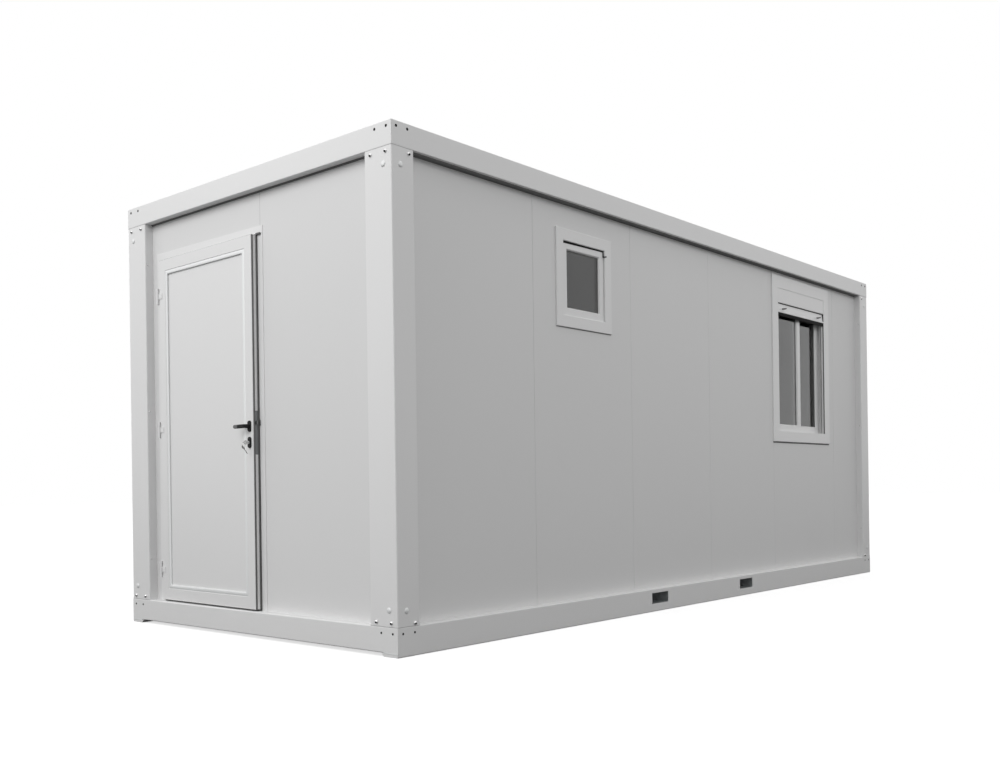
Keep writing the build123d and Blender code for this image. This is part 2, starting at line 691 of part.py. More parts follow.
def lever():
    """Outer lever: a round neck, then a flat bar that bends towards the hinges."""
    line = LEVER_REACH - LEVER / 2
    tip = HANDLE_Y + LEVER_LENGTH
    neck = Pos(LEAF_X - NECK_LENGTH / 2, HANDLE_Y, HANDLE_HEIGHT) * (
        Rot(0, 90, 0) * Cylinder(NECK_RADIUS, NECK_LENGTH))
    start = (LEAF_X - NECK_LENGTH, HANDLE_Y, HANDLE_HEIGHT)
    path = FilletPolyline(start, (LEAF_X - line, HANDLE_Y, HANDLE_HEIGHT),
                          (LEAF_X - line, tip, HANDLE_HEIGHT), radius=LEVER_BEND)
    plane = Plane(origin=start, x_dir=(0, 1, 0), z_dir=(-1, 0, 0))
    section = Rectangle(LEVER, LEVER_HEIGHT)
    bar = sweep(plane * chamfer(section.vertices(), LEVER_BEVEL), path=path)
    round_end = Pos(LEAF_X - line, tip - LEVER_HEIGHT / 2, HANDLE_HEIGHT) * (
        Rot(0, 90, 0) * Cylinder(LEVER_HEIGHT / 2, 2 * LEVER))
    tip_area = block(LEAF_X - line - LEVER, LEAF_X - line + LEVER, tip - LEVER_HEIGHT / 2, tip,
                     HANDLE_HEIGHT - LEVER_HEIGHT, HANDLE_HEIGHT + LEVER_HEIGHT)
    return neck + (bar - (tip_area - round_end))


def make_handles():
    """Lever handles on one square spindle, pointing to the hinge side."""
    half = SPINDLE / 2
    spindle = block(LEAF_X - NECK_LENGTH, LEAF_X + LEAF + NECK_LENGTH, HANDLE_Y - half,
                    HANDLE_Y + half, HANDLE_HEIGHT - half, HANDLE_HEIGHT + half)
    outer, inner = both_faces(lever())
    save("lever_handles", ajar(outer + inner + spindle))


def make_hinges():
    """Three barrel hinges: the frame half carries the pin, the leaf half turns on it."""
    third = HINGE_LENGTH / 3
    frame_halves = []
    leaf_halves = []
    leaf_face = HINGE_X + LEAF_DEPTH - HINGE_AXIS_DEPTH
    bottom = LEAF_BOTTOM + HINGE_FROM_BOTTOM
    top = LEAF_TOP - HINGE_FROM_TOP
    for z in (bottom, (LEAF_BOTTOM + LEAF_TOP) / 2, top):
        pin = Pos(HINGE_X, HINGE_Y, z) * Cylinder(HINGE_PIN, HINGE_LENGTH)
        frame_plate = block(DOOR_X + FRAME_FACE - HINGE_PLATE, DOOR_X + FRAME_FACE,
                            HINGE_Y - HINGE_PIN, HINGE_Y + HINGE_PLATE_WIDTH - HINGE_PIN,
                            z - HINGE_LENGTH / 2, z + HINGE_LENGTH / 2)
        half = pin + frame_plate
        for side in (-1, 1):
            middle = z + side * third
            half += Pos(HINGE_X, HINGE_Y, middle) * Cylinder(HINGE_BARREL, third)
            half += block(HINGE_X, DOOR_X + FRAME_FACE, HINGE_Y - HINGE_PIN, HINGE_Y + HINGE_BARREL,
                          middle - third / 2, middle + third / 2)
        frame_halves.append(half)
        length = third - 2 * HINGE_FIT
        leaf_half = Pos(HINGE_X, HINGE_Y, z) * Cylinder(HINGE_BARREL, length)
        leaf_half += block(leaf_face - HINGE_PLATE, leaf_face,
                           HINGE_Y - HINGE_AXIS_OFFSET - HINGE_PLATE_WIDTH, HINGE_Y,
                           z - length / 2, z + length / 2)
        leaf_half -= Pos(HINGE_X, HINGE_Y, z) * Cylinder(HINGE_PIN + HINGE_FIT, HINGE_LENGTH)
        leaf_halves.append(leaf_half)
    save("hinge_frame_halves", Compound(children=frame_halves))
    save("hinge_leaf_halves", ajar(Compound(children=leaf_halves)))


def window_ring(section, centre, low, high, half):
    """Sweep a section round a clear opening in the -Y wall.

    The section is given as distance outwards from the opening's edge, and depth.
    """
    x = centre - HALF_LENGTH
    y = -HALF_WIDTH
    path = Polyline((x, y, low), (x + half, y, low), (x + half, y, high),
                    (x - half, y, high), (x - half, y, low), (x, y, low))
    start = Plane(origin=(x, y, low), x_dir=(0, 0, -1), z_dir=(-1, 0, 0))
    placed = start * outline([(out, -depth) for out, depth in section])
    return sweep(placed, path=path, transition=Transition.RIGHT)


def frame_section(trim, rebate):
    """Window frame: outside trim, body through the wall, inside trim and a sash rebate."""
    face = TRIM_FACE
    bevel = TRIM_BEVEL
    inside = PANEL_BACK + INNER_TRIM
    return [(0, face + bevel), (bevel, face), (trim - bevel, face), (trim, face + bevel),
            (trim, SETBACK), (FRAME_BODY, SETBACK), (FRAME_BODY, PANEL_BACK),
            (INNER_TRIM_WIDTH, PANEL_BACK), (INNER_TRIM_WIDTH, inside), (rebate, inside),
            (rebate, face + FRAME_LIP), (0, face + FRAME_LIP)]


def make_small_window():
    """Small window with its bottom-hung sash, shut."""
    low = SMALL_BOTTOM + SMALL_TRIM
    high = SMALL_BOTTOM + SMALL_HEIGHT - SMALL_TRIM
    half = SMALL_WIDTH / 2 - SMALL_TRIM
    frame = window_ring(frame_section(SMALL_TRIM, SASH_REBATE), SMALL_CENTRE, low, high, half)
    save("small_window_frame", frame)
    front = TRIM_FACE + FRAME_LIP + SASH_SEAT
    back = front + SMALL_SASH
    stile = SMALL_STILE
    bevel = SASH_BEVEL
    section = [(SASH_OVERLAP, front), (bevel - stile, front), (-stile, front + bevel),
               (-stile, back - bevel), (bevel - stile, back), (SASH_OVERLAP, back)]
    save("small_window_sash", window_ring(section, SMALL_CENTRE, low, high, half))
    x = SMALL_CENTRE - HALF_LENGTH
    reach = half - stile
    middle = -HALF_WIDTH + (front + back) / 2
    glass = block(x - reach, x + reach, middle - SMALL_PANE / 2, middle + SMALL_PANE / 2,
                  low + stile, high - stile)
    save("small_window_glass", glass)


def bevelled_front(x0, x1, y0, y1, z0, z1):
    """Box between two opposite corners, its outer front edges bevelled."""
    whole = block(x0, x1, y0, y1, z0, z1)
    return chamfer(whole.faces().sort_by(Axis.Y)[0].edges(), TRIM_BEVEL)


def make_wide_window():
    """Wide window: frame, shutter box, end slat, guides and two sliding sashes."""
    low = WIDE_BOTTOM + WIDE_SILL_TRIM
    high = WIDE_BOTTOM + WIDE_HEIGHT - WIDE_TRIM
    half = WIDE_WIDTH / 2 - WIDE_TRIM
    x = WIDE_CENTRE - HALF_LENGTH
    y = -HALF_WIDTH
    body = window_ring(wide_body_section(), WIDE_CENTRE, low, high, half)
    plate = bevelled_front(x - WIDE_WIDTH / 2, x + WIDE_WIDTH / 2, y + TRIM_FACE, y + SETBACK,
                           WIDE_BOTTOM, WIDE_BOTTOM + WIDE_HEIGHT)
    plate -= block(x - half, x + half, y, y + 2 * SETBACK, low, high)
    save("wide_window_frame", body + plate)
    box_low = high - SHUTTER_BOX
    cover = y + TRIM_FACE + COVER_STEP
    save("shutter_box", bevelled_front(x - half, x + half, cover, cover + SHUTTER_BOX_DEPTH,
                                       box_low, high))
    slat_low = box_low - SLAT_HEIGHT
    start = Plane(origin=(x - half, y + TRIM_FACE, 0), x_dir=(0, 1, 0), z_dir=(1, 0, 0))
    save("shutter_slat", extrude(start * slat_section(slat_low, box_low), 2 * half))
    corner = Pos(x - half, y + TRIM_FACE + GUIDE_STEP, low)
    guide = corner * extrude(guide_section(), slat_low - low)
    centre = Plane(origin=(x, 0, 0), x_dir=(0, 1, 0), z_dir=(1, 0, 0))
    save("shutter_guides", Compound(children=[guide, mirrored(guide, centre)]))
    make_sliding_sashes(x, low, box_low, half)


def wide_body_section():
    """Body of the wide window's frame and its inside trim."""
    inside = PANEL_BACK + INNER_TRIM
    return [(0, SETBACK), (FRAME_BODY, SETBACK), (FRAME_BODY, PANEL_BACK),
            (INNER_TRIM_WIDTH, PANEL_BACK), (INNER_TRIM_WIDTH, inside), (0, inside)]


def slat_section(low, high):
    """End slat of the shutter: it leans out downwards to a lip that stands forward."""
    back = SLAT_LIP + SLAT_LEAN + SLAT
    lip = low + SLAT_LIP_HEIGHT
    return outline([(SLAT_LIP + SLAT_LEAN, high), (SLAT_LIP, lip + SLAT_LIP), (0, lip),
                    (0, low), (back, low), (back, high)])


def guide_section():
    """Channel that the shutter runs in, open towards the middle of the window."""
    whole = Rectangle(GUIDE_WIDTH, GUIDE, align=Align.MIN)
    groove = Rectangle(GUIDE_WIDTH, GUIDE - 2 * GUIDE_WALL, align=Align.MIN)
    return whole - Pos(GUIDE_WALL, GUIDE_WALL) * groove


def make_sliding_sashes(x, low, top, half):
    """Two sashes on their own tracks, with interlocking stiles near the middle."""
    front = TRIM_FACE + GUIDE_STEP + GUIDE + TRACK_PLAY
    rear = front + WIDE_SASH + SASH_PLAY
    meeting = x + SASH_MEETING
    panes = []
    places = {"wide_window_front_sash": (x - half, meeting, front),
              "wide_window_rear_sash": (meeting - SASH_INTERLOCK, x + half, rear)}
    for name, (x0, x1, depth) in places.items():
        back = depth + WIDE_SASH
        section = [(0, depth + WIDE_BEAD_DEPTH), (WIDE_BEAD, depth), (WIDE_STILE, depth),
                   (WIDE_STILE, back), (0, back)]
        reach = (x1 - x0) / 2 - WIDE_STILE
        centre = (x0 + x1) / 2
        sash = window_ring(section, centre + HALF_LENGTH, low + WIDE_STILE, top - WIDE_STILE, reach)
        save(name, sash)
        pane = -HALF_WIDTH + depth + WIDE_BEAD_DEPTH + PANE_SEAT
        panes.append(block(centre - reach, centre + reach, pane, pane + WIDE_PANE,
                           low + WIDE_STILE, top - WIDE_STILE))
    save("wide_window_glass", Compound(children=panes))


os.makedirs("parts", exist_ok=True)
make_base()
make_posts()
make_roof()
make_long_walls()
make_end_walls()
make_door_frame()
make_leaf()
make_lock()
make_hinges()
make_small_window()
make_wide_window()
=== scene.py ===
"""Finishes, fixings and seals of a portable site cabin, and the studio it stands in."""
import json
import math

import bmesh
import bpy
from mathutils import Matrix, Vector


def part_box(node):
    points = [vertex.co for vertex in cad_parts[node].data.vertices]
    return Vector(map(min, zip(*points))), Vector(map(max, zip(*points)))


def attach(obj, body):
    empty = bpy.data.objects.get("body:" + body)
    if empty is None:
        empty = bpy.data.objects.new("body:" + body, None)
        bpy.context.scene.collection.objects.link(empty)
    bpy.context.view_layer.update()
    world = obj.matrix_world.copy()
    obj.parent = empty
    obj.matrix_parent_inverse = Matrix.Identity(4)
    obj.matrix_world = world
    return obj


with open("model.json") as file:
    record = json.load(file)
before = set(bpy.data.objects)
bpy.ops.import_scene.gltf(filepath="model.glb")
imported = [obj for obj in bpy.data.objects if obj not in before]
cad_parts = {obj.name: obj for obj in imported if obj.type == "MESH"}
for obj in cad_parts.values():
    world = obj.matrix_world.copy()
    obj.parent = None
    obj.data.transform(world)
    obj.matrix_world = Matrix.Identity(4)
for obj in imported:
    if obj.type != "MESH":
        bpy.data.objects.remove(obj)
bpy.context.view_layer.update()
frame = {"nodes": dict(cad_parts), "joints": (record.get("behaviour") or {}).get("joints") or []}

bl_info = {
    "name": "Site cabin dressing",
    "version": (1, 0, 0),
    "blender": (4, 5, 0),
    "location": "View3D > Sidebar > Cabin",
    "description": "Gives a portable site cabin its finishes, fixings, seals and studio",
    "category": "Object",
}

MM = 0.001

# The cabin's own faces and levels, read from the frame
BASE_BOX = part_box("base_front_rail")
POST_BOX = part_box("post_front_far_end")
HALF_LENGTH = BASE_BOX[1].x
HALF_WIDTH = -BASE_BOX[0].y
BASE_TOP = BASE_BOX[1].z
POST_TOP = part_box("roof_front_rail")[0].z
POST_EDGE_X = HALF_LENGTH - (POST_BOX[1].x - POST_BOX[0].x)
POST_EDGE_Y = HALF_WIDTH - (POST_BOX[1].y - POST_BOX[0].y)
PANEL_FACE_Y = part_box("front_panel_corner")[0].y
BACK_PANEL_FACE_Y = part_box("back_panels")[1].y
FAR_PANEL_FACE_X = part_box("far_end_panels")[1].x
DOOR_PANEL_FACE_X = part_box("door_end_panel")[0].x
SMALL_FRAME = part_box("small_window_frame")
WIDE_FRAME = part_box("wide_window_frame")
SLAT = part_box("shutter_slat")
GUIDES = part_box("shutter_guides")
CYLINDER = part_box("lock_cylinder")
DOOR_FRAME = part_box("door_frame")
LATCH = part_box("latch_bolt")

# The small window's sash inside its trim
SMALL_TRIM = 72 * MM
SASH_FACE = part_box("small_window_sash")[0].y
SASH_LEFT = SMALL_FRAME[0].x + SMALL_TRIM
SASH_RIGHT = SMALL_FRAME[1].x - SMALL_TRIM
SASH_FOOT = SMALL_FRAME[0].z + SMALL_TRIM
SASH_HEAD = SMALL_FRAME[1].z - SMALL_TRIM

# The door opening's side by the lock, and the corners of the shut leaf
DOOR_TRIM = 45 * MM
JAMB_Y = DOOR_FRAME[0].y + DOOR_TRIM
LEAF_LOW = Vector((-2997.5, -61.5, 160)) * MM
LEAF_HIGH = Vector((-2952.5, 914.5, 2278)) * MM

CORNERS = [(-1, -1), (1, -1), (-1, 1), (1, 1)]

# What several finishes share
DUST_COLOUR = (0.42, 0.40, 0.36)
BARE_STEEL = (0.55, 0.56, 0.57)
BLACK = (0.012, 0.012, 0.013)
WHITE = (1.0, 1.0, 1.0, 1.0)
NO_STRETCH = (1.0, 1.0, 1.0)


# Properties a user would change
class CabinSizes(bpy.types.PropertyGroup):
    """Sizes of the fixings and seals, in metres."""

    bolt_width: bpy.props.FloatProperty(
        name="Bolt width", description="Head of a post bolt, across", default=0.021, unit="LENGTH")
    bolt_height: bpy.props.FloatProperty(
        name="Bolt height", description="How far a post bolt's head stands out",
        default=0.0065, unit="LENGTH")
    cap_width: bpy.props.FloatProperty(
        name="Cap width", description="Domed cap beside the bolts, across", default=0.030, unit="LENGTH")
    roof_plug_width: bpy.props.FloatProperty(
        name="Roof plug width", description="Plug in a hole of the roof ring, across",
        default=0.015, unit="LENGTH")
    floor_plug_width: bpy.props.FloatProperty(
        name="Floor plug width", description="Plug in a hole of the floor ring, across",
        default=0.012, unit="LENGTH")
    screw_width: bpy.props.FloatProperty(
        name="Screw width", description="Screw head in a post's return, across",
        default=0.011, unit="LENGTH")
    # The panel seal's dark also paints the shade of the gap under the roof ring
    seal_height: bpy.props.FloatProperty(
        name="Panel seal height", description="Dark seal along the panels' tops",
        default=0.008, unit="LENGTH")
    door_opening: bpy.props.FloatProperty(
        name="Door opening", description="How far the door stands open at rest",
        default=math.radians(1.1), subtype="ANGLE")


class CabinFinishes(bpy.types.PropertyGroup):
    """Colours of the finishes."""

    ring_paint: bpy.props.FloatVectorProperty(
        name="Ring paint", description="Powder coat of the rails and posts",
        default=(0.80, 0.80, 0.80), size=3, subtype="COLOR")
    panel_paint: bpy.props.FloatVectorProperty(
        name="Panel coat", description="Coated steel of the wall panels",
        default=(0.745, 0.745, 0.745), size=3, subtype="COLOR")
    door_paint: bpy.props.FloatVectorProperty(
        name="Door coat", description="Coat of the door, its frame and hinges",
        default=(0.80, 0.80, 0.80), size=3, subtype="COLOR")
    window_white: bpy.props.FloatVectorProperty(
        name="Window white", description="White plastic of the windows and shutter",
        default=(0.80, 0.80, 0.80), size=3, subtype="COLOR")
    # This black also paints shade: in the bolts' sockets, the ring holes, round the shutter slat and in the
    # small sash's gaps
    rubber_and_shade: bpy.props.FloatVectorProperty(
        name="Rubber", description="Seals and gaskets",
        default=(0.016, 0.016, 0.016), size=3, subtype="COLOR")


class CabinStudio(bpy.types.PropertyGroup):
    """The camera and the studio's light."""

    lens: bpy.props.FloatProperty(
        name="Lens", description="Focal length on a 36 mm sensor, in millimetres", default=37.787)
    key_strength: bpy.props.FloatProperty(
        name="Key light", description="Strength of the sun-like lamp from the door end", default=0.505)
    fill_strength: bpy.props.FloatProperty(
        name="Surround", description="Strength of the light from all round", default=0.682)
    end_power: bpy.props.FloatProperty(
        name="Door end softbox", description="Power of the softbox above the door end, in watts",
        default=131)
    side_power: bpy.props.FloatProperty(
        name="Window side softbox", description="Power of the softbox above the windows, in watts",
        default=69)
    floor_grey: bpy.props.FloatProperty(
        name="Floor", description="How pale the floor is for the light it throws back",
        default=0.15, min=0, max=1, subtype="FACTOR")


# Material helpers
def fill(tree, sockets, values):
    """Links each named socket to what feeds it, or sets its own value."""
    for name, value in values.items():
        if isinstance(value, bpy.types.NodeSocket):
            tree.links.new(value, sockets[name])
        else:
            sockets[name].default_value = value


def add_node(tree, kind, inputs=None, **settings):
    """Adds a node, sets its options, and fills or links its inputs."""
    made = tree.nodes.new("ShaderNode" + kind)
    for name, value in settings.items():
        setattr(made, name, value)
    fill(tree, made.inputs, inputs or {})
    return made


def new_group(name, inputs, outputs):
    """An empty node group with named sockets, and the sockets of its two end nodes."""
    group = bpy.data.node_groups.new(name, "ShaderNodeTree")
    for socket, kind, default in inputs:
        made = group.interface.new_socket(socket, in_out="INPUT", socket_type="NodeSocket" + kind)
        if default is not None:
            made.default_value = default
    for socket, kind in outputs:
        group.interface.new_socket(socket, in_out="OUTPUT", socket_type="NodeSocket" + kind)
    start = group.nodes.new("NodeGroupInput")
    end = group.nodes.new("NodeGroupOutput")
    return group, start.outputs, end.inputs


def place_group(tree, group, inputs):
    """Places a shared effect in a material."""
    return add_node(tree, "Group", inputs, node_tree=group).outputs


def maths(tree, operation, first, second, clamp=False):
    """One sum of two numbers or sockets."""
    made = add_node(tree, "Math", {0: first, 1: second}, operation=operation, use_clamp=clamp)
    return made.outputs["Value"]


def vector_maths(tree, operation, first, second):
    """One sum of a vector or a colour with a number or another vector."""
    factor = "Scale" if operation == "SCALE" else 1
    made = add_node(tree, "VectorMath", {0: first, factor: second}, operation=operation)
    return made.outputs["Value" if operation == "DOT_PRODUCT" else "Vector"]


def mixed(tree, factor, first, second):
    """A colour between two others."""
    made = add_node(tree, "Mix", {"Factor": factor, "A": first, "B": second}, data_type="RGBA")
    return made.outputs["Result"]


def ramp(tree, value, low, high, out_low=0.0, out_high=1.0):
    """Maps a value from one range to another, held at both ends."""
    made = add_node(tree, "MapRange", {
        "Value": value, "From Min": low, "From Max": high,
        "To Min": out_low, "To Max": out_high})
    return made.outputs["Result"]


def noise(tree, vector, scale, detail=2.0, roughness=0.5):
    """Soft noise of a number of features a metre."""
    made = add_node(tree, "TexNoise", {
        "Vector": vector, "Scale": scale, "Detail": detail, "Roughness": roughness})
    return made.outputs["Fac"]


# Effects that several materials share
def make_coat_group():
    """Slow shifts of shade and gloss over a coat, and its fine orange peel."""
    group, given, result = new_group(
        "Coat",
        [("Vector", "Vector", None), ("Colour", "Color", None), ("Shift", "Float", 0.03),
         ("Peel scale", "Float", 260.0), ("Gloss", "Float", 0.35)],
        [("Colour", "Color"), ("Roughness", "Float"), ("Height", "Float")])
    slow = noise(group, given["Vector"], 0.9, 3.0)
    fine = noise(group, given["Vector"], 14.0, 4.0, 0.6)
    both = maths(group, "ADD", maths(group, "MULTIPLY", slow, 0.7), maths(group, "MULTIPLY", fine, 0.3))
    change = maths(group, "MULTIPLY", maths(group, "SUBTRACT", both, 0.5), given["Shift"])
    smear = maths(group, "MULTIPLY", maths(group, "SUBTRACT", fine, 0.5), 0.04)
    fill(group, result, {
        "Colour": vector_maths(group, "SCALE", given["Colour"], maths(group, "ADD", change, 1.0)),
        "Roughness": maths(group, "ADD", given["Gloss"], smear),
        "Height": noise(group, given["Vector"], given["Peel scale"], 1.0)})
    return group


def make_weather_group():
    """Dust that settles near the ground, and thin runs of dirt down the sides."""
    group, given, result = new_group(
        "Weather", [("Vector", "Vector", None), ("Dust", "Float", 0.1), ("Runs", "Float", 0.05)],
        [("Mask", "Float")])
    height = add_node(group, "SeparateXYZ", {"Vector": given["Vector"]}).outputs["Z"]
    low = ramp(group, height, 0.0, 0.55, 1.0, 0.0)
    cloud = noise(group, given["Vector"], 3.2, 5.0, 0.65)
    dust = maths(group, "MULTIPLY", maths(group, "MULTIPLY", low, cloud), given["Dust"])
    drawn_down = vector_maths(group, "MULTIPLY", given["Vector"], (1.0, 1.0, 0.035))
    thin = ramp(group, noise(group, drawn_down, 24.0, 3.0, 0.7), 0.56, 0.78)
    runs = maths(group, "MULTIPLY", thin, given["Runs"])
    fill(group, result, {"Mask": maths(group, "ADD", dust, runs, clamp=True)})
    return group


def make_edge_group():
    """Eased edges for the light to catch, and a mask of where they are."""
    group, given, result = new_group(
        "Eased edges", [("Radius", "Float", 0.0012)], [("Normal", "Vector"), ("Edge", "Float")])
    eased = add_node(group, "Bevel", {"Radius": given["Radius"]}, samples=4).outputs["Normal"]
    true = add_node(group, "NewGeometry").outputs["Normal"]
    facing = vector_maths(group, "DOT_PRODUCT", eased, true)
    fill(group, result, {"Normal": eased, "Edge": ramp(group, facing, 0.99, 0.75)})
    return group


def make_zinc_group():
    """The crystals of hot-dip zinc."""
    group, given, result = new_group(
        "Zinc", [("Vector", "Vector", None), ("Colour", "Color", None)],
        [("Colour", "Color"), ("Roughness", "Float"), ("Height", "Float")])
    flakes = add_node(group, "TexVoronoi", {"Vector": given["Vector"], "Scale": 70.0}).outputs
    grey = add_node(group, "RGBToBW", {"Color": flakes["Color"]}).outputs["Val"]
    fill(group, result, {
        "Colour": vector_maths(group, "SCALE", given["Colour"], ramp(group, grey, 0.0, 1.0, 0.86, 1.1)),
        "Roughness": ramp(group, grey, 0.0, 1.0, 0.34, 0.52),
        "Height": flakes["Distance"]})
    return group


def make_grain_group():
    """A brushed or moulded grain drawn out along one axis."""
    group, given, result = new_group(
        "Grain",
        [("Vector", "Vector", None), ("Stretch", "Vector", (1.0, 1.0, 1.0)),
         ("Scale", "Float", 400.0), ("Gloss", "Float", 0.4)],
        [("Roughness", "Float"), ("Height", "Float"), ("Shade", "Float")])
    stretched = vector_maths(group, "MULTIPLY", given["Vector"], given["Stretch"])
    lines = noise(group, stretched, given["Scale"], 3.0, 0.6)
    smear = maths(group, "MULTIPLY", maths(group, "SUBTRACT", lines, 0.5), 0.3)
    fill(group, result, {
        "Roughness": maths(group, "ADD", given["Gloss"], smear),
        "Height": lines,
        "Shade": ramp(group, lines, 0.2, 0.8, 0.94, 1.05)})
    return group


def new_material(name):
    """A material, its node tree, its Principled shader's inputs and the surface's own coordinates."""
    material = bpy.data.materials.new(name)
    material.use_nodes = True
    tree = material.node_tree
    place = add_node(tree, "TexCoord").outputs["Object"]
    return material, tree, tree.nodes["Principled BSDF"].inputs, place


def opaque(colour):
    """A colour with its alpha."""
    return (*colour, 1.0)


def coated_material(name, effects, colour, gloss, peel, dust=0.05, edge=0.0012, wear=0.0, wave=0.0):
    """A white coat: slow shifts, orange peel, dust low down, and edges that are eased and a little worn."""
    material, tree, shader, place = new_material(name)
    runs = 0.006
    coat = place_group(tree, effects["coat"], {"Vector": place, "Colour": opaque(colour), "Gloss": gloss})
    weather = place_group(tree, effects["weather"], {"Vector": place, "Dust": dust, "Runs": runs})
    edges = place_group(tree, effects["edges"], {"Radius": edge})
    dusty = mixed(tree, weather["Mask"], coat["Colour"], opaque(DUST_COLOUR))
    wear_and_highlight = maths(tree, "MULTIPLY", edges["Edge"], wear)
    dull = maths(tree, "MULTIPLY", weather["Mask"], 0.5)
    height = coat["Height"]
    if wave:
        drawn_down = vector_maths(tree, "MULTIPLY", place, (1.0, 1.0, 0.35))
        slow_wave = noise(tree, drawn_down, 2.2, 1.0)
        height = maths(tree, "ADD", height, maths(tree, "MULTIPLY", slow_wave, wave))
    bump = add_node(tree, "Bump", {
        "Height": height, "Normal": edges["Normal"], "Strength": peel, "Distance": 0.0004})
    fill(tree, shader, {
        "Base Color": mixed(tree, wear_and_highlight, dusty, opaque(BARE_STEEL)),
        "Roughness": maths(tree, "ADD", coat["Roughness"], dull, clamp=True),
        "Normal": bump.outputs["Normal"]})
    return material


def zinc_material(name, effects, colour):
    """Galvanised steel."""
    material, tree, shader, place = new_material(name)
    zinc = place_group(tree, effects["zinc"], {"Vector": place, "Colour": opaque(colour)})
    bump = add_node(tree, "Bump", {"Height": zinc["Height"], "Strength": 0.2, "Distance": 0.0003})
    fill(tree, shader, {
        "Base Color": zinc["Colour"], "Roughness": zinc["Roughness"], "Metallic": 0.85,
        "Normal": bump.outputs["Normal"]})
    return material


def grained_material(name, effects, colour, gloss, metal, stretch, scale, specular=0.5, wear_and_highlight=None):
    """A brushed metal or a moulded plastic with a fine grain and eased edges.
    Its last argument, when given, holds a pale colour and a distance along Y past which the surface is
    painted that colour: a painted highlight on the levers' outer ends."""
    material, tree, shader, place = new_material(name)
    grain = place_group(tree, effects["grain"], {
        "Vector": place, "Stretch": stretch, "Scale": scale, "Gloss": gloss})
    edges = place_group(tree, effects["edges"], {"Radius": 0.0008})
    # Painted highlight: past the given distance along Y the colour is painted pale
    if wear_and_highlight:
        pale, start = wear_and_highlight
        fade = 0.010
        along = add_node(tree, "SeparateXYZ", {"Vector": place}).outputs["Y"]
        cloud = maths(tree, "MULTIPLY", noise(tree, place, 220.0, 3.0), 0.006)
        mask = ramp(tree, maths(tree, "ADD", along, cloud), start, start + fade)
        colour = mixed(tree, mask, opaque(colour), opaque(pale))
    bump = add_node(tree, "Bump", {
        "Height": grain["Height"], "Normal": edges["Normal"], "Strength": 0.15, "Distance": 0.0002})
    fill(tree, shader, {
        "Base Color": vector_maths(tree, "SCALE", colour, grain["Shade"]),
        "Roughness": grain["Roughness"], "Metallic": metal, "Specular IOR Level": specular,
        "Normal": bump.outputs["Normal"]})
    return material


def glass_material(name):
    """Clear float glass with a breath of dust in its gloss."""
    material, tree, shader, place = new_material(name)
    haze = noise(tree, place, 6.0, 4.0, 0.6)
    fill(tree, shader, {
        "Base Color": mixed(tree, haze, (0.44, 0.445, 0.445, 1.0), (0.48, 0.485, 0.485, 1.0)),
        "Roughness": ramp(tree, haze, 0.3, 0.9, 0.0, 0.02),
        "Transmission Weight": 1.0, "IOR": 1.52})
    return material


def board_material(name, colour, gloss):
    """Sealed board with a faint grain along the cabin."""
    material, tree, shader, place = new_material(name)
    drawn_out = vector_maths(tree, "MULTIPLY", place, (0.6, 9.0, 9.0))
    long_grain = noise(tree, drawn_out, 12.0, 5.0, 0.65)
    bump = add_node(tree, "Bump", {"Height": long_grain, "Strength": 0.2, "Distance": 0.0005})
    fill(tree, shader, {
        "Base Color": vector_maths(tree, "SCALE", colour, ramp(tree, long_grain, 0.3, 0.7, 0.82, 1.12)),
        "Roughness": ramp(tree, long_grain, 0.2, 0.8, gloss - 0.08, gloss + 0.08),
        "Normal": bump.outputs["Normal"]})
    return material


